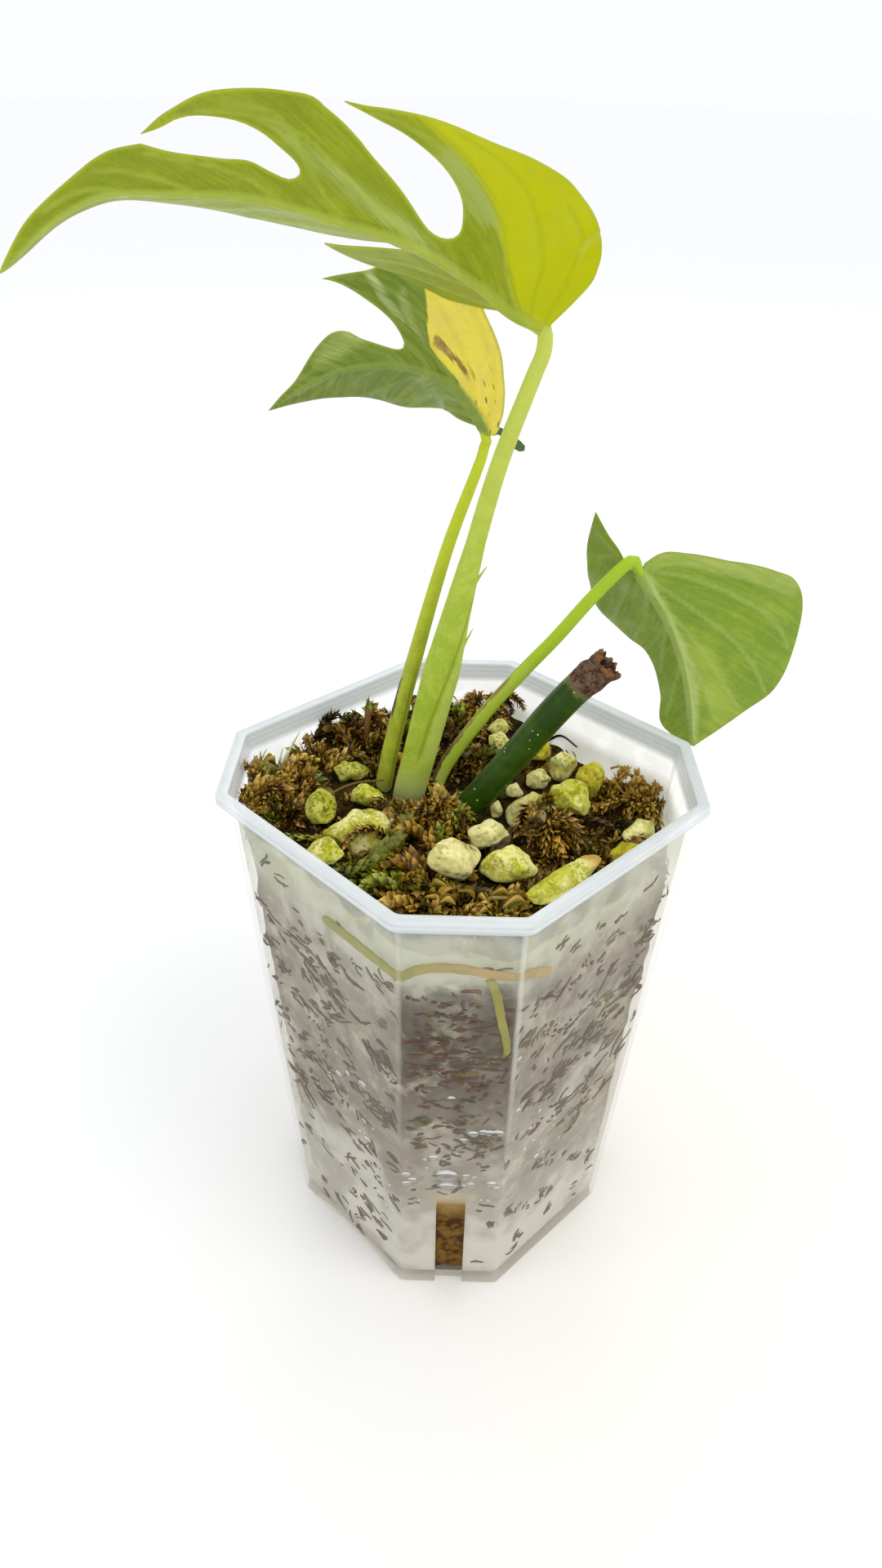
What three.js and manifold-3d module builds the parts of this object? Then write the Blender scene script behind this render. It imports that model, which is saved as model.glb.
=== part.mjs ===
// A mini monstera (Rhaphidophora tetrasperma), a rooted cutting with three leaves, in its clear nursery pot.
// Millimetres, +Z up. The origin is the centre of the pot's base, on the surface that the pot stands on.
// The pot's sides are parallel to X and Y. The plant is set out in a frame turned by an eighth of a turn,
// so that its own -Y points to the pot's front corner.

import * as THREE from 'three';
import { mergeVertices } from 'three/addons/utils/BufferGeometryUtils.js';
import Module from 'manifold-3d';

const wasm = await Module();
wasm.setup();

// ------------------------------------------------------------------ driving dimensions: the pot

const POT_HEIGHT = 114;
const RIM_HALF = 40; // half the rim's outer width
const RIM_CUT = 16; // length that each corner takes off a side, at the rim's outer edge
const RIM_EDGE = 1.8; // height of the rim's upright edge
const RIM_WIDTH = 2.3; // flat top of the rim, from its outer to its inner edge
const RIM_REACH = 2.4; // how far the rim stands out from the wall
const RIM_DROP = 4.5; // the rim's sloping underside meets the wall this far below its top
const BASE_HALF = 31.75;
const BASE_CUT = 15;
const WALL = 0.9;
const FLOOR = 1.4;
const FLOOR_FILLET = 3.2; // the thicker bend between the floor and the wall
const SLOT_WIDTH = 6; // the drain slot in each corner facet
const SLOT_HEIGHT = 32;
const ARCH_CHORD = 28; // the low arch under the front and back sides
const ARCH_RISE = 2.4;
const ARCH_DEPTH = 1.7;

// ------------------------------------------------------------------ driving dimensions: what is in the pot

const GAP = 0.3; // between solids that touch on the real thing
const PLANT_TURN = Math.PI / 4;
const SOIL_LEVEL = 103.5; // mean height of the moss at the pot's axis
const SOIL_FALL = 0.09; // the moss lies lower towards the plant's +X
const SOIL_GRID = 20; // cells across the moss surface
const SPRIG_COUNT = 30;
const SPRIG_SIDES = 5;
const STONE_SOCKET = 0.4; // the moss stands back this far from a stone
const STONE_LIFT = 0.34; // how far a stone's middle lies above the moss, as a share of its height
const BLADE = 0.8; // thickness of a leaf blade
const BLADE_CELL = 4; // spacing of the blade's inner points
const EDGE_STEP = 3; // spacing of the points along a blade's edge
const RIB_SINK = 0.35; // the midrib's axis lies this far below the blade

const rad = THREE.MathUtils.degToRad;
const vec = (p) => new THREE.Vector3(...p);

// ------------------------------------------------------------------ seeded chance

function seeded(seed) {
  let state = seed >>> 0;
  return () => {
    state = (state + 0x6d2b79f5) >>> 0;
    let mixed = Math.imul(state ^ (state >>> 15), state | 1);
    mixed ^= mixed + Math.imul(mixed ^ (mixed >>> 7), mixed | 61);
    return ((mixed ^ (mixed >>> 14)) >>> 0) / 4294967296;
  };
}

// ------------------------------------------------------------------ solids: join and cut

function toSolid(geometry) {
  const bare = geometry.clone();
  bare.deleteAttribute('normal');
  bare.deleteAttribute('uv');
  const merged = mergeVertices(bare, 1e-4);
  const vertProperties = new Float32Array(merged.attributes.position.array);
  const triVerts = new Uint32Array(merged.index.array);
  return new wasm.Manifold(new wasm.Mesh({ numProp: 3, vertProperties, triVerts }));
}

function toGeometry(solid) {
  const mesh = solid.getMesh();
  const geometry = new THREE.BufferGeometry();
  geometry.setAttribute('position', new THREE.BufferAttribute(new Float32Array(mesh.vertProperties), 3));
  geometry.setIndex(new THREE.BufferAttribute(new Uint32Array(mesh.triVerts), 1));
  geometry.computeVertexNormals();
  return geometry;
}

// The largest of the bodies that a cut leaves, without the loose scraps.
function mainBody(solid) {
  const bodies = solid.decompose();
  bodies.sort((a, b) => b.volume() - a.volume());
  return bodies[0];
}

function unite(solids) {
  return solids.reduce((sum, solid) => sum.add(solid));
}

// ------------------------------------------------------------------ shapes: rings, rods and blades

// Eight corners of a square with cut corners, anticlockwise, at one height.
function ring(half, cut, z) {
  const short = half - cut;
  const quarter = [[half, -short], [half, short]];
  const corners = [];
  for (let turn = 0; turn < 4; turn += 1) {
    for (const [x, y] of quarter) {
      const c = Math.round(Math.cos((turn * Math.PI) / 2));
      const s = Math.round(Math.sin((turn * Math.PI) / 2));
      corners.push([x * c - y * s, x * s + y * c, z]);
    }
  }
  return corners;
}

// The same ring moved inward, so that all eight sides stand back by the same distance.
function inset(half, cut, distance, z) {
  return ring(half - distance, cut - distance * (2 - Math.SQRT2), z);
}

// A closed skin through a stack of rings, with a flat face over the first and the last.
function stack(rings) {
  const sides = rings[0].length;
  const last = (rings.length - 1) * sides;
  const faces = [];
  for (let level = 0; level < rings.length - 1; level += 1) {
    for (let i = 0; i < sides; i += 1) {
      const a = level * sides + i;
      const b = level * sides + ((i + 1) % sides);
      faces.push(a, b, b + sides, a, b + sides, a + sides);
    }
  }
  for (let i = 1; i < sides - 1; i += 1) {
    faces.push(0, i + 1, i, last, last + i, last + i + 1);
  }
  const geometry = new THREE.BufferGeometry();
  geometry.setAttribute('position', new THREE.Float32BufferAttribute(rings.flat(2), 3));
  geometry.setIndex(faces);
  geometry.computeVertexNormals();
  return geometry;
}

function smooth(points) {
  return new THREE.CatmullRomCurve3(points.map(vec), false, 'centripetal');
}

// A rod along a curve: a cylinder whose rings are moved onto the curve.
// radius(t, angle) is its radius, and flat(t) is how deep it is for its width.
function rod(curve, steps, sides, radius, flat = () => 1) {
  const geometry = new THREE.CylinderGeometry(1, 1, 1, sides, steps);
  const { normals, binormals } = curve.computeFrenetFrames(steps, false);
  const place = geometry.attributes.position;
  for (let i = 0; i < place.count; i += 1) {
    const t = place.getY(i) + 0.5;
    const step = Math.round(t * steps);
    const size = radius(t, Math.atan2(place.getZ(i), place.getX(i)));
    const point = curve.getPointAt(t);
    point.addScaledVector(normals[step], place.getX(i) * size);
    point.addScaledVector(binormals[step], -place.getZ(i) * size * flat(t));
    place.setXYZ(i, point.x, point.y, point.z);
  }
  return geometry;
}

// Straight lines between [t, value] pairs.
function along(pairs) {
  return (t) => {
    const next = Math.max(1, pairs.findIndex(([at]) => at >= t));
    const [t0, v0] = pairs[next - 1];
    const [t1, v1] = pairs[next];
    return THREE.MathUtils.lerp(v0, v1, (t - t0) / (t1 - t0));
  };
}

// The surface of a leaf. u runs along the midrib, v across it, both in millimetres. Each half leaves the
// midrib at its own angle above the leaf's plane and curls by so many degrees a millimetre.
class LeafSurface {
  constructor({ rib, lateral, upper, near, far }) {
    this.curve = smooth(rib);
    this.length = this.curve.getLength();
    this.lateral = vec(lateral);
    this.upper = upper;
    this.near = near;
    this.far = far;
  }

  frame(u) {
    const t = THREE.MathUtils.clamp(u / this.length, 0, 1);
    const tangent = this.curve.getTangentAt(t);
    const middle = this.curve.getPointAt(t).addScaledVector(tangent, u - t * this.length);
    const across = this.lateral.clone().addScaledVector(tangent, -tangent.dot(this.lateral)).normalize();
    const up = across.clone().cross(tangent).multiplyScalar(this.upper);
    return { middle, tangent, across, up };
  }

  point(u, v) {
    const { middle, across, up } = this.frame(u);
    const [start, curl] = v < 0 ? this.far : this.near;
    const from = rad(start);
    const to = from + rad(curl) * Math.abs(v);
    const bend = to - from || 1e-9;
    const radius = Math.abs(v) / bend;
    const out = (Math.sin(to) - Math.sin(from)) * radius;
    const rise = (Math.cos(from) - Math.cos(to)) * radius;
    return middle.addScaledVector(across, Math.sign(v) * out).addScaledVector(up, rise);
  }

  below(u) {
    const { middle, up } = this.frame(u);
    return middle.addScaledVector(up, -RIB_SINK);
  }
}

// The outline of a blade, from smooth stretches that meet at sharp tips and corners.
function outlineShape(stretches) {
  const points = [];
  for (const stretch of stretches) {
    const curve = new THREE.SplineCurve(stretch.map(([u, v]) => new THREE.Vector2(u, v)));
    const spaced = curve.getSpacedPoints(Math.ceil(curve.getLength() / EDGE_STEP));
    points.push(...spaced.slice(0, -1));
  }
  return new THREE.Shape(points);
}

// A blade laid flat and split into small cells: the top skin of a thin dished slab, cut to the outline.
function flatBlade(shape) {
  const box = new THREE.Box2().setFromPoints(shape.getPoints());
  const length = box.max.x - box.min.x + 2 * BLADE_CELL;
  const columns = Math.ceil(length / BLADE_CELL);
  const rows = Math.ceil(Math.max(box.max.y, -box.min.y) / BLADE_CELL) + 1;
  const slab = new THREE.BoxGeometry(length, 2 * rows * BLADE_CELL, 2, columns, 2 * rows, 1);
  slab.translate((box.min.x + box.max.x) / 2, 0, 0);
  const place = slab.attributes.position;
  const dish = 0.004;
  for (let i = 0; i < place.count; i += 1) {
    place.setZ(i, place.getZ(i) + dish * (place.getX(i) ** 2 + place.getY(i) ** 2));
  }
  const cutter = new THREE.ExtrudeGeometry(shape, { depth: 200, bevelEnabled: false });
  cutter.translate(0, 0, -50);
  const cut = toGeometry(toSolid(slab).intersect(toSolid(cutter)));
  return topSkin(cut);
}

function topSkin(geometry) {
  const place = geometry.attributes.position;
  const corner = [new THREE.Vector3(), new THREE.Vector3(), new THREE.Vector3()];
  const skin = [];
  for (let i = 0; i < geometry.index.count; i += 3) {
    corner.forEach((point, k) => point.fromBufferAttribute(place, geometry.index.getX(i + k)));
    const normal = new THREE.Triangle(...corner).getNormal(new THREE.Vector3());
    if (normal.z > 0.5) {
      corner.forEach((point) => skin.push(point.x, point.y, 0));
    }
  }
  const flat = new THREE.BufferGeometry();
  flat.setAttribute('position', new THREE.Float32BufferAttribute(skin, 3));
  return mergeVertices(flat, 1e-3);
}

// Gives an open sheet a thickness, half of it on each side, split into triangles alike on both faces.
function thicken(sheet, thickness) {
  sheet.computeVertexNormals();
  const place = sheet.attributes.position;
  const normal = sheet.attributes.normal;
  const count = place.count;
  const points = [];
  for (const side of [0.5, -0.5]) {
    for (let i = 0; i < count; i += 1) {
      const point = new THREE.Vector3().fromBufferAttribute(place, i);
      const out = new THREE.Vector3().fromBufferAttribute(normal, i);
      points.push(...point.addScaledVector(out, side * thickness).toArray());
    }
  }
  const faces = [];
  const edges = new Map();
  for (let i = 0; i < sheet.index.count; i += 3) {
    const [a, b, c] = [0, 1, 2].map((k) => sheet.index.getX(i + k));
    faces.push(a, b, c, c + count, b + count, a + count);
    [[a, b], [b, c], [c, a]].forEach(([from, to]) => edges.set(`${from} ${to}`, [from, to]));
  }
  for (const [from, to] of edges.values()) {
    if (!edges.has(`${to} ${from}`)) {
      faces.push(to, from, from + count, to, from + count, to + count);
    }
  }
  const geometry = new THREE.BufferGeometry();
  geometry.setAttribute('position', new THREE.Float32BufferAttribute(points, 3));
  geometry.setIndex(faces);
  return geometry;
}

// A whole leaf: the blade bent onto its surface, with the midrib joined to its underside.
function leafGeometry(leaf) {
  const surface = new LeafSurface(leaf);
  const sheet = flatBlade(outlineShape(leaf.outline));
  const place = sheet.attributes.position;
  for (let i = 0; i < place.count; i += 1) {
    const point = surface.point(place.getX(i), place.getY(i));
    place.setXYZ(i, point.x, point.y, point.z);
  }
  const blade = toSolid(thicken(sheet, BLADE));
  const ribEnd = surface.length - 4;
  const ribPoints = [];
  for (let i = 0; i <= 12; i += 1) {
    ribPoints.push(surface.below(THREE.MathUtils.lerp(GAP, ribEnd, i / 12)));
  }
  const ribCurve = new THREE.CatmullRomCurve3(ribPoints, false, 'centripetal');
  const rib = rod(ribCurve, 16, 8, (t) => THREE.MathUtils.lerp(leaf.ribRadius, 0.45, t));
  return toGeometry(mainBody(blade.add(toSolid(rib))));
}

// ------------------------------------------------------------------ the pot

const wallTopZ = POT_HEIGHT - RIM_DROP;
const wallTopHalf = RIM_HALF - RIM_REACH;
const wallTopCut = RIM_CUT - RIM_REACH * (2 - Math.SQRT2);
const facetRadius = (half, cut) => Math.SQRT2 * half - cut / Math.SQRT2;

// The wall's outer width and corner cut at a height.
function wallAt(z) {
  const t = z / wallTopZ;
  const half = THREE.MathUtils.lerp(BASE_HALF, wallTopHalf, t);
  const cut = THREE.MathUtils.lerp(BASE_CUT, wallTopCut, t);
  return { half, cut };
}

function wallRing(z, distance) {
  const { half, cut } = wallAt(z);
  return inset(half, cut, distance, z);
}

function potGeometry() {
  const filletZ = FLOOR + FLOOR_FILLET;
  const shell = stack([
    wallRing(0, 0),
    wallRing(wallTopZ, 0),
    inset(RIM_HALF, RIM_CUT, 0, POT_HEIGHT - RIM_EDGE),
    inset(RIM_HALF, RIM_CUT, 0, POT_HEIGHT),
    inset(RIM_HALF, RIM_CUT, RIM_WIDTH, POT_HEIGHT),
    wallRing(wallTopZ, WALL),
    wallRing(filletZ, WALL),
    wallRing(FLOOR, WALL + FLOOR_FILLET),
  ]);
  let pot = toSolid(shell);
  const reach = 6;
  const slot = new THREE.BoxGeometry(reach, SLOT_WIDTH, SLOT_HEIGHT + 1);
  slot.translate(facetRadius(BASE_HALF, BASE_CUT) + 1.2, 0, (SLOT_HEIGHT - 1) / 2);
  for (let corner = 0; corner < 4; corner += 1) {
    const turned = slot.clone().rotateZ(Math.PI / 4 + (corner * Math.PI) / 2);
    pot = pot.subtract(toSolid(turned));
  }
  const archRadius = ((ARCH_CHORD / 2) ** 2 + ARCH_RISE ** 2) / (2 * ARCH_RISE);
  for (const side of [-1, 1]) {
    const arch = new THREE.CylinderGeometry(archRadius, archRadius, 2 * ARCH_DEPTH, 96);
    arch.translate(0, side * BASE_HALF, ARCH_RISE - archRadius);
    pot = pot.subtract(toSolid(arch));
  }
  return toGeometry(pot);
}

// ------------------------------------------------------------------ the cane with its roots

// The rooted cane lies in the moss, bends up to the right and ends in a dried, hollow cut.
const caneCurve = smooth([
  [-19, 9, 88.5], [-11, 7, 92], [-3, 4.6, 97], [2.9, 2.3, 105.4], [10.7, 1.8, 116.9], [16.6, 1, 126.2],
  [21.1, 0.5, 132.3], [25.4, 0, 136.8],
]);
const CANE_RADIUS = 2.9;
const CANE_DRY = 0.9; // the share of its length below the dried end
const CANE_HOLLOW = 3;

const roots = [
  { radius: 1, steps: 16, path: [
    [-13, 6, 91], [-20, -4, 91], [-23.4, -16, 92], [-22.3, -27.2, 93.7], [-17.5, -32, 95.6],
    [-12.9, -36.6, 97.2],
    [-9.2, -38.9, 98.6], [-5.5, -39.8, 100.1], [-0.5, -39.8, 100.5], [4.9, -39.8, 99.9],
    [10.2, -38.9, 99.2], [13.6, -35.9, 97],
  ] },
  { radius: 0.8, steps: 7, path: [
    [4.6, -39.7, 99.8], [6.2, -39.7, 94.4], [7.1, -39.2, 87.7], [8.3, -38.2, 79.2], [8.4, -34, 71],
  ] },
  { radius: 1.1, steps: 6, path: [[-1, 4, 98], [9, 12, 90], [21, 18, 80], [26, 15, 66], [22, 10, 54]] },
  { radius: 1.1, steps: 6, path: [[-9, 6.5, 92.5], [-11, 18, 86], [-6, 29, 74], [2, 30, 60]] },
  { radius: 1.2, steps: 6, path: [[-15, 8, 90], [-18, 5, 76], [-10, -6, 60], [0, -8, 44], [8, -2, 30]] },
];

function caneRadius(t, angle) {
  if (t < CANE_DRY) {
    return CANE_RADIUS;
  }
  const dry = (t - CANE_DRY) / (1 - CANE_DRY);
  return CANE_RADIUS * (1 + 0.07 * dry * Math.sin(4 * angle + 9 * dry));
}

// The cane joined to its roots, which lie flat where they press against the wall.
function caneSolid(clearance) {
  const cane = rod(caneCurve, 20, 10, (t, angle) => caneRadius(t, angle) + clearance);
  const rootSolids = roots.map(({ radius, steps, path }) => {
    const taper = (t) => radius * (1 - 0.35 * t) + clearance;
    return toSolid(rod(smooth(path), steps, 5, taper));
  });
  const pressed = unite(rootSolids).intersect(column(POT_HEIGHT - RIM_DROP));
  return toSolid(cane).add(pressed);
}

function caneGeometry() {
  const end = caneCurve.getPointAt(1);
  const tangent = caneCurve.getTangentAt(1);
  const hollow = new THREE.ConeGeometry(CANE_RADIUS * 0.62, CANE_HOLLOW * 2, 10);
  hollow.applyQuaternion(new THREE.Quaternion().setFromUnitVectors(new THREE.Vector3(0, -1, 0), tangent));
  hollow.translate(end.x, end.y, end.z);
  return toGeometry(mainBody(caneSolid(0).subtract(toSolid(hollow))));
}

// ------------------------------------------------------------------ the leaves

const leafTop = {
  name: 'leaf_top',
  color: 0x8a9a4c,
  ribRadius: 1.2,
  lateral: [0, -1, 0],
  upper: -1,
  near: [58, -0.5],
  far: [-24, 0],
  rib: [
    [9.7, 4, 192.5], [5.5, 3, 194.6], [0.4, 2, 198.3], [-9.3, 0, 203.9], [-19.8, -1, 207],
    [-27.9, -2, 209.1],
    [-33.8, -3, 210.2], [-43, -3, 210.4], [-52.2, -3, 210.1], [-57, -3, 208.4], [-61.1, -4, 206],
    [-68, -6, 200.3],
  ],
  outline: [
    [[0.6, 1], [-1.6, 4], [-1.4, 10.5], [0.7, 16.7], [8.4, 21.7], [15, 22.8], [21.7, 21.4], [27, 20],
      [34, 18.8], [37, 18.4]],
    [[37, 18.4], [32.4, 17.4], [28, 16.3], [24, 14], [21, 10.9], [19.5, 8.2], [18.6, 5.6], [19, 3.9],
      [20.6, 3.1], [23, 3.9],
      [28.3, 8.8], [35.4, 14.3], [39.2, 16.6]],
    [[39.2, 16.6], [41, 17.6], [45, 17.2], [48.4, 16], [51, 14.9], [54.5, 12.6], [57.2, 10.9], [60, 8.6]],
    [[60, 8.6], [56.6, 9.9], [54.5, 11], [51.9, 11.7], [48.6, 11.5], [46.4, 10.4], [44.2, 8.7],
      [41.5, 7], [40.6, 5.2],
      [41.9, 3.8], [44.8, 4.3], [47.2, 5.2], [50.4, 5], [56, 5.9], [60.4, 7.1]],
    [[60.4, 7.1], [64.5, 6.1], [68.8, 4.1], [73.8, 3], [79.5, 2.2], [84.8, 0.7], [86.5, 0]],
    [[86.5, 0], [84.6, -0.7], [79, -1.5], [73, -2], [66.8, -2.8], [60.3, -4.2], [54.5, -6.6],
      [50, -8.6], [46, -9.7],
      [41, -9.4], [37, -8.4], [32, -6.6], [27, -4.6], [23.5, -2.9], [21.8, -2.8], [21.6, -4.2],
      [25, -7], [30, -9.5], [35, -13]],
    [[35, -13], [30, -16.5], [24.3, -18.6], [17, -18.6], [10.8, -16], [7.5, -9.5], [5.5, -4],
      [3.5, -1.2], [1.5, -0.9], [0.6, 1]],
  ],
  petiole: {
    name: 'petiole_top',
    color: 0x9fb06a,
    steps: 22,
    path: [
      [-11.3, 6.6, 92.5], [-10.5, 4.6, 104], [-8.2, 4.6, 114.6], [-4.7, 4.5, 130.8],
      [-0.1, 4.3, 152.4], [4.3, 4, 170.6],
      [9.2, 3.8, 185.2], [10.5, 3.9, 189],
    ],
    width: [[0, 2.2], [0.1, 3.1], [0.38, 3.45], [0.5, 2.5], [0.62, 1.7], [0.8, 1.42], [1, 1.15]],
    depth: [[0, 0.8], [0.1, 0.62], [0.38, 0.55], [0.62, 0.85], [0.8, 1], [1, 1]],
  },
};

const leafMiddle = {
  name: 'leaf_middle',
  color: 0xa9a55a,
  ribRadius: 1.1,
  lateral: [0, -1, 0],
  upper: -1,
  near: [88, -0.3],
  far: [-50, 0],
  rib: [
    [2.43, 17, 171.94], [1.28, 18, 174.51], [-1.9, 20, 178.1], [-5.5, 22, 180], [-9.5, 25, 180.8],
    [-14.5, 28, 180.8],
    [-22.2, 32, 179.3], [-30.3, 36, 175.3], [-38.9, 40, 169.3],
  ],
  outline: [
    [[0.4, 3.2], [1.2, 3.7], [2.3, 4.6], [6, 7.6], [9, 11], [11.2, 13.8], [12.8, 17], [15.4, 19.4],
      [18.8, 19.2], [22, 17.2],
      [25.2, 15.9], [28, 15.7], [31.7, 15.8]],
    [[31.7, 15.8], [29.8, 14.4], [26.7, 11.3], [23.1, 7.9], [21.2, 4.7], [21.2, 3.2], [22.6, 2.7],
      [25, 3.2], [28.9, 4.6],
      [31.3, 6.3], [34, 6.5], [38.3, 4.8], [44.6, 1.9], [50, 0.9], [54.1, 0]],
    [[54.1, 0], [51.1, -1.5], [45.1, -4.5], [39.6, -8], [32.5, -11.6], [26, -12.2], [19, -10.3],
      [12, -6.8], [7, -5.6],
      [4.4, -4.6], [2.4, -2.6], [1.5, -1.2], [1.1, 0], [0.8, 1.4], [-0.7, 2.2], [-2.2, 2.7],
      [-4.4, 4.1], [-4.9, 5.2],
      [-4.3, 5.7], [-2.9, 5.1], [-0.7, 3.9], [0.4, 3.2]],
  ],
  petiole: {
    name: 'petiole_middle',
    color: 0x9fb06a,
    steps: 16,
    path: [
      [-17.2, 8.8, 90], [-15.3, 8.1, 106.4], [-12.7, 9, 119.2], [-10, 10, 130.3], [-3.7, 13, 153.4],
      [0.8, 15.5, 165.7],
      [1.8, 16.3, 168.5], [2.2, 17, 170.1],
    ],
    width: [[0, 1.7], [0.35, 1.65], [0.7, 1.3], [1, 1.2]],
    depth: [[0, 1], [1, 1]],
  },
};

const leafLow = {
  name: 'leaf_low',
  color: 0x7c9a3f,
  ribRadius: 1.1,
  lateral: [1, 0, 0],
  upper: 1,
  near: [16, 0.2],
  far: [42, 0.3],
  rib: [
    [31.9, 22, 147], [34.3, 22.5, 143.2], [38, 23.5, 137.7], [41.5, 24.5, 131.5], [44.8, 26, 124],
    [47.4, 27.5, 116],
    [50.5, 30, 103.6],
  ],
  outline: [
    [[1.6, 0.9], [1.1, 2], [2.1, 6.7], [9.9, 14.1], [18, 23.4], [21.8, 26.8], [27.4, 27.2],
      [35.5, 23.9], [42.8, 18.9],
      [46, 11.5], [48.6, 5.4], [50.5, 0]],
    [[50.5, 0], [49.2, -5.5], [46.3, -8.4], [38.6, -7.7], [31.3, -7.8], [25.9, -9.5], [23.6, -13.3],
      [18.4, -17.4],
      [10.5, -18.4], [0.4, -13], [-6, -8.7], [-12.5, -2.8]],
    [[-12.5, -2.8], [-7, -2.9], [-3.6, -2.3], [-0.6, -2.3], [1.4, -2], [1.6, 0.9]],
  ],
  petiole: {
    name: 'petiole_low',
    color: 0x9fb06a,
    steps: 16,
    path: [
      [-6.2, 6, 94.6], [-4.5, 10.8, 104.4], [4.1, 13.2, 118.2], [11.3, 15.2, 126.8],
      [17.6, 17.2, 133.5], [24.3, 19.6, 141.2],
      [30.3, 21.3, 147.2],
    ],
    width: [[0, 1.5], [1, 1.2]],
    depth: [[0, 1], [1, 1]],
  },
};

const leaves = [leafTop, leafMiddle, leafLow];

// A petiole ends square to its leaf's midrib, just short of it.
function petioleSolid(leaf, clearance) {
  const surface = new LeafSurface(leaf);
  const end = surface.below(0);
  const before = end.clone().addScaledVector(surface.frame(0).tangent, -0.8);
  const { path, steps, width, depth } = leaf.petiole;
  const curve = smooth([...path, before.toArray(), end.toArray()]);
  const wide = along(width);
  return toSolid(rod(curve, steps, 10, (t) => wide(t) + clearance, along(depth)));
}

// ------------------------------------------------------------------ the pumice

// Each loose stone: its place on the moss, its length, breadth and height, its heading and its colour.
const CREAM = 0xd9cfb0;
const GREEN = 0x8d9b5c;
const YELLOW = 0xc2a866;
const stones = [
  { x: -22.3, y: 9.6, size: [7.4, 4.8, 4.6], heading: 8, color: GREEN },
  { x: -26, y: -7, size: [8, 7, 7], heading: 60, color: GREEN },
  { x: -18.3, y: 0, size: [6.8, 4.8, 4.4], heading: -35, color: YELLOW },
  { x: -18.4, y: -12.7, size: [12.4, 9, 8], heading: 25, color: CREAM },
  { x: -25.1, y: -19.3, size: [8.5, 5.6, 5.4], heading: -42, color: YELLOW },
  { x: -1.5, y: -20, size: [10, 9, 8.4], heading: 15, color: CREAM },
  { x: 4.9, y: -8.9, size: [8.4, 6.4, 5.8], heading: 5, color: CREAM },
  { x: 8.5, y: -18.7, size: [10.6, 7.2, 6.8], heading: -8, color: CREAM },
  { x: 13.3, y: -0.2, size: [10.4, 7, 8], heading: 0, color: CREAM },
  { x: 21.5, y: 4.4, size: [8.6, 7.4, 7.4], heading: -10, color: GREEN },
  { x: 26.3, y: 11, size: [7, 5.8, 9], heading: 80, color: YELLOW },
  { x: 20.9, y: 17.1, size: [6, 5.2, 7], heading: 0, color: CREAM },
  { x: 19.1, y: -21.3, size: [20, 6.2, 5.6], heading: 44, color: GREEN },
  { x: 31.7, y: -10.4, size: [8, 5, 4.5], heading: 30, color: YELLOW },
  { x: 34.8, y: -2.6, size: [9.5, 5, 4.5], heading: 38, color: CREAM },
  { x: 8.3, y: 30.3, size: [5.8, 5, 4], heading: 40, color: CREAM },
  { x: 8, y: 25, size: [4.4, 4, 4], heading: 0, color: CREAM },
  { x: 7, y: 0.9, size: [2.6, 2.4, 4], heading: 0, color: CREAM },
  { x: 15.6, y: 13.4, size: [5.6, 4.6, 4.4], heading: 0, color: CREAM },
  { x: 16.6, y: 22.6, size: [6.4, 4.6, 5], heading: 50, color: YELLOW },
  { x: 10.6, y: 8.3, size: [3.6, 3, 3], heading: 0, color: CREAM },
];

function stoneGeometry(stone, index, clearance) {
  const chance = seeded(500 + index);
  const bare = new THREE.IcosahedronGeometry(1, 1);
  bare.deleteAttribute('normal');
  bare.deleteAttribute('uv');
  const rock = mergeVertices(bare, 1e-3);
  const place = rock.attributes.position;
  for (let i = 0; i < place.count; i += 1) {
    const lump = 0.84 + 0.2 * chance();
    place.setXYZ(i, place.getX(i) * lump, place.getY(i) * lump, place.getZ(i) * lump);
  }
  const [length, breadth, height] = stone.size;
  rock.scale(length / 2 + clearance, breadth / 2 + clearance, height / 2 + clearance);
  rock.rotateZ(rad(stone.heading));
  rock.translate(stone.x, stone.y, soilHeight(stone.x, stone.y) + STONE_LIFT * height);
  rock.computeVertexNormals();
  return rock;
}

// ------------------------------------------------------------------ the moss with its sprigs

// Low mounds on the moss: place, height and radius.
const mounds = [
  [17.7, -6.5, 2.6, 4.5], [-7.9, -5, 2.2, 5], [6, 37, 2.6, 8], [-36, -1, 1.6, 7], [2, -31, 1.4, 8],
  [-22, 26, 2, 6], [-14, -22, 1.6, 6], [34, 9, 1.6, 6],
];

function soilHeight(x, y) {
  const broad = 0.7 * Math.sin(0.31 * x + 1.1) * Math.cos(0.27 * y - 0.4);
  const ripple = broad + 0.5 * Math.sin(0.57 * x - 0.44 * y + 2);
  const heaps = mounds.map(([mx, my, high, wide]) => {
    return high * Math.exp(-((x - mx) ** 2 + (y - my) ** 2) / wide ** 2);
  });
  return SOIL_LEVEL - SOIL_FALL * x + ripple + heaps.reduce((sum, heap) => sum + heap);
}

// The column of moss that fits the pot, cut off flat at a height.
function column(top) {
  const shrink = WALL + GAP;
  const geometry = stack([
    wallRing(FLOOR + GAP, shrink + FLOOR_FILLET + 0.2),
    wallRing(FLOOR + FLOOR_FILLET + GAP, shrink),
    wallRing(top, shrink),
  ]);
  return toSolid(geometry.rotateZ(-PLANT_TURN));
}

function terrain() {
  const span = 96;
  const slab = new THREE.BoxGeometry(span, span, 130, SOIL_GRID, SOIL_GRID, 1);
  const place = slab.attributes.position;
  for (let i = 0; i < place.count; i += 1) {
    const top = place.getZ(i) > 0;
    place.setZ(i, top ? soilHeight(place.getX(i), place.getY(i)) : -5);
  }
  return toSolid(slab);
}

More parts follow.
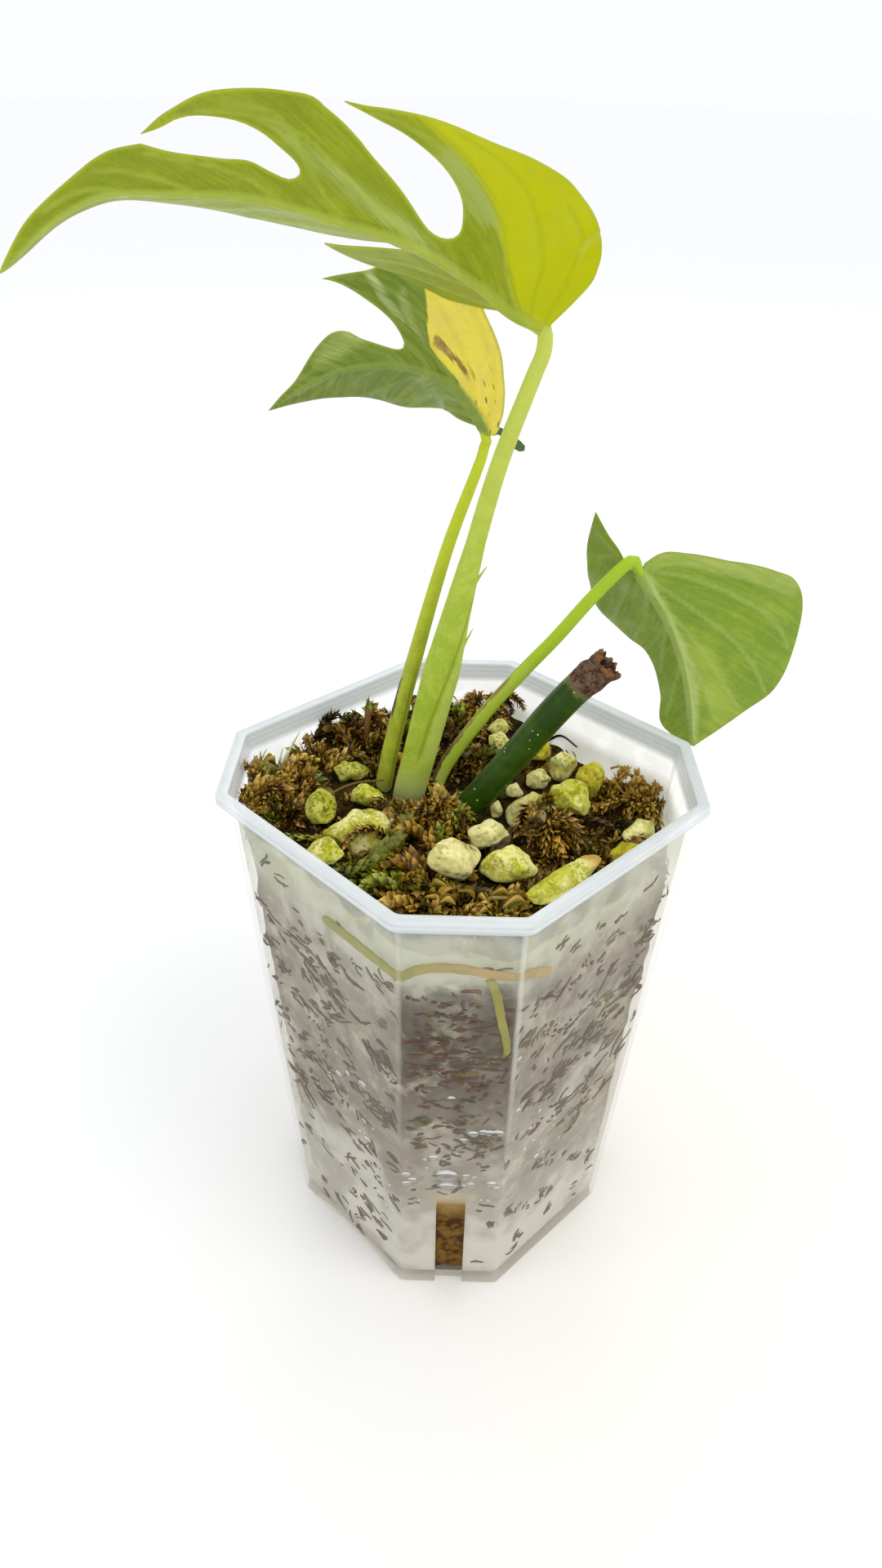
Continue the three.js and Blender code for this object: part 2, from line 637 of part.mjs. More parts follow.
// One sprig: it rises out of the moss, leans over and curls down at its tip.
function sprig(x, y, heading, length, lift, thick) {
  const away = new THREE.Vector2(Math.cos(heading), Math.sin(heading));
  const base = soilHeight(x, y);
  const at = (reach, up) => [x + away.x * reach * length, y + away.y * reach * length, base + up];
  const arch = [at(0, -3), at(0.15, 0.4 * lift), at(0.5, lift), at(0.85, 0.75 * lift), at(1, 0.2 * lift)];
  const curve = smooth(arch);
  return toSolid(rod(curve, 4, SPRIG_SIDES, (t) => thick * (1 - 0.6 * t * t)));
}

function mossSprigs() {
  const chance = seeded(41);
  const sprigs = [];
  for (let i = 0; i < SPRIG_COUNT; i += 1) {
    const bearing = i * 2.39996;
    const far = 36 * Math.sqrt((i + 0.5) / SPRIG_COUNT);
    const heading = bearing + 2 + 2 * chance();
    const length = 6 + 6 * chance();
    const lift = 1.6 + 1.6 * chance();
    const thickness = 1.1 + 0.5 * chance();
    sprigs.push(sprig(far * Math.cos(bearing), far * Math.sin(bearing), heading, length, lift, thickness));
  }
  return sprigs;
}

function growingMixGeometry() {
  const ground = column(112).intersect(terrain());
  const tufts = unite(mossSprigs()).intersect(column(112));
  const holes = [caneSolid(GAP), ...leaves.map((leaf) => petioleSolid(leaf, GAP))];
  const sockets = stones.map((stone, index) => toSolid(stoneGeometry(stone, index, STONE_SOCKET)));
  return toGeometry(mainBody(ground.add(tufts).subtract(unite([...holes, ...sockets]))));
}

// ------------------------------------------------------------------ the object

const group = new THREE.Group();
const plant = new THREE.Group();
plant.rotation.z = PLANT_TURN;
group.add(plant);

function addMesh(parent, name, geometry, color, roughness) {
  const mesh = new THREE.Mesh(geometry, new THREE.MeshStandardMaterial({ color, roughness, metalness: 0 }));
  mesh.name = name;
  parent.add(mesh);
}

addMesh(group, 'pot', potGeometry(), 0xd5dad2, 0.35);
addMesh(plant, 'growing_mix', growingMixGeometry(), 0x6b4d24, 0.95);
stones.forEach((stone, index) => {
  const name = `pumice_${String(index + 1).padStart(2, '0')}`;
  addMesh(plant, name, stoneGeometry(stone, index, 0), stone.color, 0.9);
});
addMesh(plant, 'cane', caneGeometry(), 0x5d7038, 0.5);
for (const leaf of leaves) {
  const petiole = mainBody(petioleSolid(leaf, 0).subtract(caneSolid(GAP)));
  addMesh(plant, leaf.petiole.name, toGeometry(petiole), leaf.petiole.color, 0.45);
  addMesh(plant, leaf.name, leafGeometry(leaf), leaf.color, 0.4);
}

export default group;
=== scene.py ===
# %% [markdown]
# # A mini monstera cutting in its clear nursery pot
#
# The plant is an aroid with three leaves, rooted in wet moss and pumice. The solids are loaded as a fixed
# frame: they say where every part is. Each cell below makes one part finer around that frame, and gives it a finish.

# %% Load the fixed frame
import math
import random

import bmesh
import bpy
import numpy as np
from mathutils import Matrix, Vector, geometry


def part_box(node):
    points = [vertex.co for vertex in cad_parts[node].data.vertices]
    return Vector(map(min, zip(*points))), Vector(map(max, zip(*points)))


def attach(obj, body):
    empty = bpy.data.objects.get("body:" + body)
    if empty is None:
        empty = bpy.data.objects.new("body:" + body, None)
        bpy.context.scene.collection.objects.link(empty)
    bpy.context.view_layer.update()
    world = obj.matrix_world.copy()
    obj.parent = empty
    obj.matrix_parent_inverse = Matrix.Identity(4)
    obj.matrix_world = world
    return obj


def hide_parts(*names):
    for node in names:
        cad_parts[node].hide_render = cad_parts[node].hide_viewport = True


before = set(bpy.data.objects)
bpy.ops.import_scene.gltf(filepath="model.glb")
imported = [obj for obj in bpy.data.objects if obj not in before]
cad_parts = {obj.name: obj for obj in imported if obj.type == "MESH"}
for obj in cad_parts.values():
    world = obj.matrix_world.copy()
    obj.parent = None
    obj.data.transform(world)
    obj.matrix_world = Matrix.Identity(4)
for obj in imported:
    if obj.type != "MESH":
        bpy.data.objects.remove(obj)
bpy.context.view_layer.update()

MM = 0.001
print("frame nodes:", len(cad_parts))

# %% [markdown]
# ## The camera
#
# The picture is upright, so Blender's sensor width counts along its height. The camera stands high in front of the
# pot's front corner and looks down at about 34 degrees, rolled by a little over one degree. Its three axes are written
# out as the columns of a matrix, which says the same as a turn would, and can be read at a glance.

# %% Camera
CAMERA_PLACE = (121.938, -126.383, 226.839)
CAMERA_RIGHT = (0.69480, 0.71898, 0.01777)
CAMERA_UP = (-0.40836, 0.37404, 0.83267)
CAMERA_BACK = (0.59203, -0.58580, 0.55349)
camera_data = bpy.data.cameras.new("camera")
camera_data.lens = 25.16
camera_data.sensor_width = 36
camera_data.clip_start = 0.01
camera = bpy.data.objects.new("camera", camera_data)
axes = Matrix((CAMERA_RIGHT, CAMERA_UP, CAMERA_BACK)).transposed().to_4x4()
camera.matrix_world = Matrix.Translation(Vector(CAMERA_PLACE) * MM) @ axes
bpy.context.scene.collection.objects.link(camera)
bpy.context.scene.camera = camera
print("camera stands at", CAMERA_PLACE, "mm")

# %% [markdown]
# ## Shader helpers
#
# Every finish here is a small graph of nodes. A `Graph` holds a node tree and has one short method for each kind of
# node that the finishes need: `over` lays colours over each other through masks, `ramp` makes a mask with a soft edge,
# `stored` reads a value off the mesh, and `times`, `plus`, `minus` and `size` do sums. A number is set on a socket, and
# the output of another node is linked to it. A `Finish` is a graph that belongs to a material.

# %% Node helpers
def full(tone):
    """A colour with its alpha; the output of a node stays as it is."""
    return (*tone, 1.0) if isinstance(tone, tuple) else tone


# a colour made darker or lighter by a share: painted shade in pores, pits and grooves, and lighter streaks
def shade_or_tint(tone, share):
    return tuple(share * part for part in tone)


class Graph:
    def __init__(self, tree):
        self.tree = tree

    def feed(self, sockets, values):
        for name, value in values.items():
            if isinstance(value, bpy.types.NodeSocket):
                self.tree.links.new(value, sockets[name])
            else:
                sockets[name].default_value = value

    def node(self, kind, values=None, **settings):
        made = self.tree.nodes.new(kind)
        for name, value in settings.items():
            setattr(made, name, value)
        self.feed(made.inputs, values or {})
        return made

    def over(self, below, *layers):
        """Lays colours over the one below. Each layer is a colour and the mask where it shows."""
        for above, mask in layers:
            below = self.node("ShaderNodeMix", {0: mask, 6: full(below), 7: full(above)},
                              data_type="RGBA", clamp_factor=True).outputs[2]
        return below

    def ramp(self, value, low, high, start=0.0, end=1.0):
        """Turns a value from low to high into one from start to end, with a smooth edge."""
        return self.node("ShaderNodeMapRange", {
            "Value": value, "From Min": low, "From Max": high, "To Min": start, "To Max": end,
        }, interpolation_type="SMOOTHSTEP").outputs[0]

    def sums(self, operation, first, *others):
        """One sum after another, as a Math node takes two values."""
        for other in others or (0.0,):
            first = self.node("ShaderNodeMath", {0: first, 1: other}, operation=operation).outputs[0]
        return first

    def times(self, *values):
        return self.sums("MULTIPLY", *values)

    def plus(self, *values):
        return self.sums("ADD", *values)

    def minus(self, *values):
        return self.sums("SUBTRACT", *values)

    def size(self, value):
        return self.sums("ABSOLUTE", value)

    def parts(self, vector):
        return self.node("ShaderNodeSeparateXYZ", {0: vector}).outputs

    def stretched(self, place, factors):
        return self.node("ShaderNodeVectorMath", {0: place, 1: factors}, operation="MULTIPLY").outputs[0]

    def noise(self, place, scale, detail, distortion=0.0):
        return self.node("ShaderNodeTexNoise", {
            "Vector": place, "Scale": scale, "Detail": detail, "Distortion": distortion}).outputs[0]

    def stored(self, name):
        return self.node("ShaderNodeAttribute", attribute_name=name).outputs["Fac"]


class Finish(Graph):
    def __init__(self, name, **plain):
        self.material = bpy.data.materials.new(name)
        self.material.use_nodes = True
        super().__init__(self.material.node_tree)
        self.done(**plain)
        self.place = self.node("ShaderNodeTexCoord").outputs["Object"]

    def effect(self, group, **values):
        """The first output of one of the shared effects, at the place on the object."""
        return self.node("ShaderNodeGroup", {"Place": self.place, **values}, node_tree=group).outputs[0]

    def done(self, **values):
        """Fills the shader's sockets by name, and gives back the material."""
        shader = self.tree.nodes["Principled BSDF"]
        self.feed(shader.inputs, {name.replace("_", " "): value for name, value in values.items()})
        return self.material


print("node helpers ready")

# %% [markdown]
# ## Shared effects
#
# Three effects come back in several finishes, so each is a node group with its own sockets. *Mottle* breaks a colour
# into soft patches and finer ones inside them. *Specks* scatters small dots, such as pores or grit. *Relief* turns
# two sizes of noise into a bumped normal. A group gives out only a mask or a normal, and the shader stays outside.

# %% Node groups
def new_group(name, inputs, outputs):
    """A node group as a graph, with the sockets that it is given and those that take its results."""
    tree = bpy.data.node_groups.new(name, "ShaderNodeTree")
    for label, value in inputs.items():
        kind = "NodeSocketVector" if value is None else "NodeSocketFloat"
        socket = tree.interface.new_socket(label, in_out="INPUT", socket_type=kind)
        if value is not None:
            socket.default_value = value
    for label, kind in outputs.items():
        tree.interface.new_socket(label, in_out="OUTPUT", socket_type=kind)
    graph = Graph(tree)
    return graph, graph.node("NodeGroupInput").outputs, graph.node("NodeGroupOutput").inputs


def make_mottle():
    g, given, result = new_group(
        "mottle", {"Place": None, "Scale": 100.0, "Fine": 0.4, "Low": 0.35, "High": 0.65}, {"Mask": "NodeSocketFloat"})
    soft = g.noise(given["Place"], given["Scale"], 2.0, 0.6)
    fine = g.noise(given["Place"], g.times(given["Scale"], 5.0), 3.0)
    both = g.plus(soft, g.times(g.minus(fine, 0.5), given["Fine"]))
    g.feed(result, {"Mask": g.ramp(both, given["Low"], given["High"])})
    return g.tree


def make_specks():
    g, given, result = new_group(
        "specks", {"Place": None, "Scale": 1000.0, "Size": 0.2, "Share": 0.4}, {"Mask": "NodeSocketFloat"})
    cells = g.node("ShaderNodeTexVoronoi", {"Vector": given["Place"], "Scale": given["Scale"]}).outputs
    dot = g.ramp(cells["Distance"], given["Size"], g.times(given["Size"], 0.6))
    chance = g.node("ShaderNodeSeparateColor", {0: cells["Color"]}).outputs[0]
    g.feed(result, {"Mask": g.times(dot, g.sums("LESS_THAN", chance, given["Share"]))})
    return g.tree


def make_relief():
    g, given, result = new_group(
        "relief", {"Place": None, "Scale": 600.0, "Strength": 0.3, "Depth": 0.0003},
        {"Normal": "NodeSocketVector", "Height": "NodeSocketFloat"})
    wide = g.noise(given["Place"], given["Scale"], 3.0)
    tight = g.noise(given["Place"], g.times(given["Scale"], 4.0), 2.0)
    height = g.plus(wide, g.times(tight, 0.35))
    bump = g.node("ShaderNodeBump", {"Strength": given["Strength"], "Distance": given["Depth"], "Height": height})
    g.feed(result, {"Normal": bump.outputs[0], "Height": height})
    return g.tree


MOTTLE, SPECKS, RELIEF = make_mottle(), make_specks(), make_relief()
print("node groups:", [group.name for group in bpy.data.node_groups])

# %% [markdown]
# ## Floor and light
#
# The object stands on a wide white sheet under a bright, even sky, as in a light tent. The sky is slightly blue and
# one large soft lamp is slightly warm, so the shade that the pot throws is faintly cool. Two more lamps only draw
# soft highlights on the plastic and the stem.

# %% Floor and light
def make_floor():
    bm = bmesh.new()
    bmesh.ops.create_grid(bm, x_segments=8, y_segments=8, size=6.0)
    mesh = bpy.data.meshes.new("floor")
    bm.to_mesh(mesh)
    bm.free()
    floor = bpy.data.objects.new("floor", mesh)
    floor.location.z = -0.00005
    bpy.context.scene.collection.objects.link(floor)
    f = Finish("white_sheet", Roughness=0.55, Specular_IOR_Level=0.3)
    x, y, _ = f.parts(f.place)
    far = f.node("ShaderNodeVectorMath", {0: f.place}, operation="LENGTH").outputs["Value"]
    soft = f.effect(MOTTLE, Scale=2.2, Fine=0.1, Low=0.3, High=0.7)
    tone = f.over(
        (0.95, 0.96, 0.965),
        # painted warm light: the sheet is warmer towards the right, under the warm key lamp
        ((0.99, 0.965, 0.905), f.ramp(f.plus(x, y), -0.16, 0.14)),
        ((0.96, 0.955, 0.94), f.times(soft, 0.3)),
        ((0.985, 0.99, 1.0), f.ramp(far, 0.12, 0.55)),
    )
    mesh.materials.append(f.done(Base_Color=tone))


def soft_lamp(name, place, size, power, tint):
    lamp = bpy.data.lights.new(name, "AREA")
    lamp.shape, lamp.size, lamp.energy, lamp.color = "DISK", size, power, tint
    made = bpy.data.objects.new(name, lamp)
    made.location = place
    made.rotation_euler = (Vector((0.0, 0.0, 0.11)) - Vector(place)).to_track_quat("-Z", "Y").to_euler()
    bpy.context.scene.collection.objects.link(made)


def make_sky():
    world = bpy.data.worlds.new("light_tent")
    world.use_nodes = True
    bpy.context.scene.world = world
    background = world.node_tree.nodes["Background"]
    background.inputs["Color"].default_value = (0.975, 0.985, 1.0, 1.0)
    background.inputs["Strength"].default_value = 1.0


make_floor()
make_sky()
soft_lamp("key_lamp", (0.55, 0.10, 0.95), 0.5, 1.9, (1.0, 0.97, 0.92))
soft_lamp("side_lamp", (-0.35, -0.75, 0.6), 0.35, 0.5, (1.0, 1.0, 1.0))
soft_lamp("back_lamp", (-0.6, 0.6, 0.7), 0.4, 0.7, (1.0, 1.0, 0.98))
bpy.context.scene.view_settings.view_transform = "Standard"
print("floor, sky and 3 lamps")

# %% [markdown]
# ## Shapes: pieces, curves and lofts
#
# All shapes are worked out in millimetres with numpy, and become metres when they become a mesh. The plant was set
# out in a frame that is turned by 45 degrees, so plant pieces are turned by that much on the way. A curve is a smooth
# line through given points that knows its own length. A loft is a skin over a row of rings: it makes stalks, the
# stem, the roots and the pot alike, so there is no need for curve objects with bevels, which can't change their
# section along the way.

# %% Pieces, noise and curves
PLANT_TURN = math.radians(45)


def turned(points, angle=PLANT_TURN):
    points = np.asarray(points, float)
    c, s = math.cos(angle), math.sin(angle)
    x, y, z = points[..., 0], points[..., 1], points[..., 2]
    return np.stack([x * c - y * s, x * s + y * c, z], -1)


def new_piece(name, points, faces, material, slot, replaced=(), values=None, sharp=180.0):
    """A finished piece from points in millimetres in the row frame, which rides on the frame."""
    mesh = bpy.data.meshes.new(name)
    mesh.from_pydata((np.asarray(points) * MM).tolist(), [], [list(map(int, face)) for face in faces])
    for label, numbers in (values or {}).items():
        numbers = np.asarray(numbers, np.float32)
        flat = numbers.ndim == 1
        attribute = mesh.attributes.new(label, "FLOAT" if flat else "FLOAT_VECTOR", "POINT")
        attribute.data.foreach_set("value" if flat else "vector", numbers.ravel())
    mesh.validate()
    mesh.materials.append(material)
    mesh.shade_smooth()
    if sharp < 180.0:
        mesh.set_sharp_from_angle(angle=math.radians(sharp))
    piece = bpy.data.objects.new(name, mesh)
    bpy.context.scene.collection.objects.link(piece)
    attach(piece, "root")
    if replaced:
        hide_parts(*replaced)
    triangles = sum(len(face) - 2 for face in faces)
    print(f"{name}: {len(points)} points, {triangles} triangles")
    return piece


def noise(points, size, seed=0):
    """Smooth seeded noise from -1 to 1 with features of about that size in millimetres."""
    spots = np.asarray(points, float) / size + 11.37 * (seed + 1)
    cell = np.floor(spots).astype(np.int64)
    part = spots - cell
    part = part * part * (3 - 2 * part)
    total = np.zeros(len(spots))
    for corner in range(8):
        step = np.array([corner & 1, corner >> 1 & 1, corner >> 2 & 1])
        at = cell + step
        mixed = (at[:, 0] * 73856093) ^ (at[:, 1] * 19349663) ^ (at[:, 2] * 83492791) ^ (seed * 2654435761)
        mixed = (mixed ^ (mixed >> 13)) * 1274126177 & 0xFFFFFFFF
        chance = ((mixed ^ (mixed >> 16)) & 0xFFFF) / 65535
        weight = np.prod(np.where(step == 1, part, 1 - part), axis=1)
        total += weight * chance
    return 2 * total - 1


def unit(vectors):
    return vectors / np.maximum(np.linalg.norm(vectors, axis=-1, keepdims=True), 1e-9)


def between(value, pairs):
    """Straight lines between (place, value) pairs."""
    return np.interp(value, [place for place, _ in pairs], [height for _, height in pairs])


def line_of(text):
    """A line of places from a text: commas part the places, and spaces their numbers."""
    return [[float(number) for number in place.split()] for place in text.split(",")]


def lines_of(text):
    """Several lines from a text, parted by semicolons."""
    return [line_of(line) for line in text.split(";")]


def lengths(line):
    """The length of a line of short steps up to each of its points."""
    return np.concatenate([[0.0], np.cumsum(np.linalg.norm(np.diff(line, axis=0), axis=1))])


def on_line(spots, run, line):
    """The values of a line at lengths along it."""
    return np.stack([np.interp(spots, run, column) for column in line.T], -1)


def smooth_step(w, start, end, start_slope, end_slope):
    """The stretch of a smooth line from one point to the next, with the slopes that it has there."""
    return ((2 * w ** 3 - 3 * w ** 2 + 1) * start + (w ** 3 - 2 * w ** 2 + w) * start_slope
            + (3 * w ** 2 - 2 * w ** 3) * end + (w ** 3 - w ** 2) * end_slope)


class Curve:
    """A smooth line through points, measured along its length."""

    def __init__(self, points, fineness=24):
        p = np.array(points, float)
        p = np.vstack([2 * p[0] - p[1], p, 2 * p[-1] - p[-2]])
        w = np.linspace(0, 1, fineness, endpoint=False)[:, None]
        parts = []
        for i in range(1, len(p) - 2):
            x0, x1, x2, x3 = p[i - 1:i + 3]
            d0, d1, d2 = (math.sqrt(max(float(np.linalg.norm(b - a)), 1e-6)) for a, b in ((x0, x1), (x1, x2), (x2, x3)))
            t1 = ((x1 - x0) / d0 - (x2 - x0) / (d0 + d1) + (x2 - x1) / d1) * d1
            t2 = ((x2 - x1) / d1 - (x3 - x1) / (d1 + d2) + (x3 - x2) / d2) * d1
            parts.append(smooth_step(w, x1, x2, t1, t2))
        self.points = np.vstack(parts + [p[-2][None]])
        self.run = lengths(self.points)
        self.length = float(self.run[-1])
        self.slope = unit(np.gradient(self.points, self.run, axis=0))

    def at(self, distance):
        """Points and directions at distances along the line, which goes on straight past its ends."""
        distance = np.atleast_1d(np.asarray(distance, float))
        inside = np.clip(distance, 0, self.length)
        slope = unit(on_line(inside, self.run, self.slope))
        return on_line(inside, self.run, self.points) + slope * (distance - inside)[:, None], slope

    def frames(self, distance):
        """Points, directions and two side directions that don't twist along the line."""
        point, slope = self.at(distance)
        first = np.zeros(3)
        first[int(np.argmin(np.abs(slope[0])))] = 1.0
        side = np.cross(slope[0], np.cross(slope[0], first))
        sides = []
        for direction in slope:
            side = side - direction * np.dot(side, direction)
            side = side / np.linalg.norm(side)
            sides.append(side)
        sides = np.array(sides)
        return point, slope, sides, np.cross(slope, sides)


def loft(rings, first_cap=True, last_cap=True):
    """Faces over rings of the same count: rings has the shape (rings, points, 3)."""
    count, sides = rings.shape[:2]
    grid = np.arange(count * sides).reshape(count, sides)
    after = np.roll(grid, -1, axis=1)
    faces = np.stack([grid[:-1], after[:-1], after[1:], grid[1:]], -1).reshape(-1, 4).tolist()
    if first_cap:
        faces.append(grid[0][::-1].tolist())
    if last_cap:
        faces.append(grid[-1].tolist())
    return rings.reshape(-1, 3), faces


def rings_around(point, one, two, across, deep):
    """Rings whose points lie that far along the two side directions at each point of a line."""
    return point[:, None] + one[:, None] * across[..., None] + two[:, None] * deep[..., None]


def split(quads):
    return np.vstack([quads[:, [0, 1, 2]], quads[:, [0, 2, 3]]])


def joined(parts):
    """Several (points, faces) as one."""
    points, faces, start = [], [], 0
    for some, skin in parts:
        points.append(some)
        faces += [[corner + start for corner in face] for face in skin]
        start += len(some)
    return np.vstack(points), faces


print("shape helpers ready")

# %% [markdown]
# ## The pot
#
# A square nursery pot with cut corners, thin and tapered, blow-moulded from clear plastic. A box with a solidify
# modifier would give the rough form, but its rim, its bent foot and its rounded corners come from one section of the
# mould. So the section is written as a row of rings, from the foot up the outside, over the rim and down inside. Each
# ring is an octagon with rounded corners. The drain slots and the low arches are then cut with booleans, as the real
# ones are cut by the mould.

# %% Pot sizes
# all in millimetres: a half is from the axis to a face, and a cut is what a corner takes off each side
POT_HEIGHT = 114.0
RIM_HALF, RIM_CUT = 40.0, 16.0
RIM_EDGE, RIM_WIDTH, RIM_REACH, RIM_DROP = 1.8, 2.3, 2.4, 4.5
BASE_HALF, BASE_CUT = 31.75, 15.0
WALL, FLOOR_THICK, FLOOR_FILLET = 0.9, 1.4, 3.2
SLOT_WIDTH, SLOT_HEIGHT = 6.0, 32.0
ARCH_CHORD, ARCH_RISE, ARCH_DEPTH = 28.0, 2.4, 1.7
WALL_TOP = POT_HEIGHT - RIM_DROP
# a ring that is set back by one millimetre has its corners cut by this much less
SLANT = 2 - math.sqrt(2)
# room between the wall and the bed of moss
GAP = 0.3


def wall_size(z):
    """Half the wall's outer width and the cut of its corners, at a height."""
    share = np.asarray(z, float) / WALL_TOP
    half = BASE_HALF + (RIM_HALF - RIM_REACH - BASE_HALF) * share
    cut = BASE_CUT + (RIM_CUT - RIM_REACH * SLANT - BASE_CUT) * share
    return half, cut


def facet_distance(half, cut):
    return math.sqrt(2) * half - cut / math.sqrt(2)


def face_distance(side, z):
    """How far one of the wall's eight outer faces is from the axis, at a height."""
    half, cut = wall_size(z)
    return half if side % 2 == 0 else facet_distance(half, cut)


def octagon(half, cut, z, rounding=1.3, steps=4):
    """A square ring with cut corners, whose eight bends are rounded."""
    short = half - cut
    corners = [np.array([half, -short]), np.array([half, short]), np.array([short, half]), np.array([-short, half])]
    corners += [-corner for corner in corners]
    ring = []
    for i, corner in enumerate(corners):
        before = unit(corners[i - 1] - corner) * rounding * 0.6
        after = unit(corners[(i + 1) % 8] - corner) * rounding * 0.6
        for t in np.linspace(0, 1, steps + 1):
            ring.append(corner + before * (1 - t) ** 2 + after * t ** 2)
    ring = np.array(ring)
    return np.column_stack([ring, np.full(len(ring), z)])


def set_back(half, cut, distance, z):
    return octagon(half - distance, cut - distance * SLANT, z)


def wall_ring(z, distance):
    return set_back(*wall_size(z), distance, z)


for z in (0, WALL_TOP):
    half, cut = wall_size(z)
    print(f"at {z} mm up, half the wall's width is {half:.2f} mm and its corners are cut by {cut:.2f} mm")

# %% Pot shell
def pot_rings():
    rings = [wall_ring(z, back) for z, back in ((0, 0.8), (0.15, 0.42), (0.5, 0.16), (1.1, 0.03), (1.8, 0))]
    rings += [wall_ring(z, 0) for z in np.linspace(8, WALL_TOP - 0.6, 14)]
    rings += [wall_ring(WALL_TOP + 0.1, 0.0)]
    for drop, back in ((RIM_EDGE + 0.35, 0.22), (RIM_EDGE, 0), (0.35, 0), (0.1, 0.1), (0, 0.35),
                       (0, RIM_WIDTH - 0.35), (0.12, RIM_WIDTH - 0.1), (0.4, RIM_WIDTH)):
        rings.append(set_back(RIM_HALF, RIM_CUT, back, POT_HEIGHT - drop))
    rings += [wall_ring(WALL_TOP + 0.4, WALL - 0.05), wall_ring(WALL_TOP - 0.5, WALL)]
    rings += [wall_ring(z, WALL) for z in np.linspace(100, 12, 12)]
    for turn in np.linspace(0, math.pi / 2, 6):
        z = FLOOR_THICK + FLOOR_FILLET * (1 - math.sin(turn))
        rings.append(wall_ring(z, WALL + FLOOR_FILLET * (1 - math.cos(turn))))
    return np.array(rings)


def cutter(name, points, faces):
    mesh = bpy.data.meshes.new(name)
    mesh.from_pydata((points * MM).tolist(), [], faces)
    made = bpy.data.objects.new(name, mesh)
    bpy.context.scene.collection.objects.link(made)
    bm = bmesh.new()
    bm.from_mesh(mesh)
    bmesh.ops.recalc_face_normals(bm, faces=bm.faces)
    bm.to_mesh(mesh)
    bm.free()
    return made


def slot_cutters():
    """One upright bar with a rounded top for the slot in each corner facet."""
    reach = facet_distance(BASE_HALF, BASE_CUT) + 1.2
    outline = [(-SLOT_WIDTH / 2, -2.0), (SLOT_WIDTH / 2, -2.0)]
    blunt = 0.8
    for turn in np.linspace(0, math.pi, 13):
        across = math.copysign(abs(math.cos(turn)) ** 0.35, math.cos(turn)) * SLOT_WIDTH / 2
        outline.append((across, SLOT_HEIGHT - blunt + blunt * math.sin(turn) ** 0.5))
    rings = np.array([[(depth, across, z) for across, z in outline] for depth in (reach - 3, reach + 3)])
    bar, faces = loft(rings)
    return [cutter("slot", turned(bar, math.pi / 4 + quarter * math.pi / 2), faces) for quarter in range(4)]


def arch_cutters():
    """A flat cylinder for the low arch under each of two sides."""
    radius = ((ARCH_CHORD / 2) ** 2 + ARCH_RISE ** 2) / (2 * ARCH_RISE)
    turns = np.linspace(0, 2 * math.pi, 160, endpoint=False)
    circle = [(radius * math.cos(turn), radius * math.sin(turn)) for turn in turns]
    made = []
    for side in (-1, 1):
        rings = np.array([[(x, side * BASE_HALF + y, ARCH_RISE - radius + z) for x, z in circle]
                          for y in (-ARCH_DEPTH, ARCH_DEPTH)])
        made.append(cutter("arch", *loft(rings)))
    return made


def cut_away(piece, tools):
    for tool in tools:
        modifier = piece.modifiers.new("cut", "BOOLEAN")
        modifier.operation = "DIFFERENCE"
        modifier.solver = "EXACT"
        modifier.object = tool
    shape = bpy.data.meshes.new_from_object(piece.evaluated_get(bpy.context.evaluated_depsgraph_get()))
    piece.modifiers.clear()
    piece.data = shape
    for tool in tools:
        bpy.data.objects.remove(tool)


print("the pot's section has", len(pot_rings()), "rings")

# %% [markdown]
# ### Its plastic
#
# The plastic is clear, but mist on its inside makes it milky. True glass would show every bounce of light between the
# thin walls as noise, so the milkiness is alpha: a pale plastic that lets a part of what is behind it through. The
# mist is thicker in soft clouds and near the foot, and thin in the upper part of the narrow facets and above the moss.
# The thick rim is nearly opaque.

# %% Pot finish
def make_wall_place():
    """How deep a place lies behind the wall's outer faces, and how near it is to a bend between two of them."""
    g, given, result = new_group("wall_place", {"Place": None}, {"Depth": "NodeSocketFloat", "Bend": "NodeSocketFloat"})
    parts = g.parts(given["Place"])
    x, y = g.size(parts[0]), g.size(parts[1])
    foot, top = wall_size(0), wall_size(WALL_TOP)
    behind = []
    for low, high, reach in (
        (foot[0], top[0], g.sums("MAXIMUM", x, y)),
        (facet_distance(*foot), facet_distance(*top), g.times(g.plus(x, y), math.sqrt(0.5))),
    ):
        climb = g.times(parts[2], (high - low) / WALL_TOP)
        behind.append(g.minus(g.plus(climb, low * MM), reach))
    g.feed(result, {"Depth": g.sums("MINIMUM", *behind), "Bend": g.sums("MAXIMUM", *behind)})
    return g.tree


WALL_PLACE = make_wall_place()


def off_corner(f, parts):
    """How far a place is from the middle of a narrow facet, across it, times the root of two."""
    return f.size(f.minus(f.size(parts[0]), f.size(parts[1])))


def in_clear_shaded_window(f, parts, clouds):
    """The clearer upper part of the narrow facets, where the mist is thin and painted shade darkens it; its borders are
    cloudy.
    """
    height = f.plus(parts[2], f.times(f.minus(clouds, 0.5), 0.008))
    return f.times(f.ramp(off_corner(f, parts), 0.0158, 0.0138), f.ramp(height, 0.0975, 0.0935),
                   f.ramp(height, 0.050, 0.074, 0.25, 1.0), f.ramp(height, 0.040, 0.054))


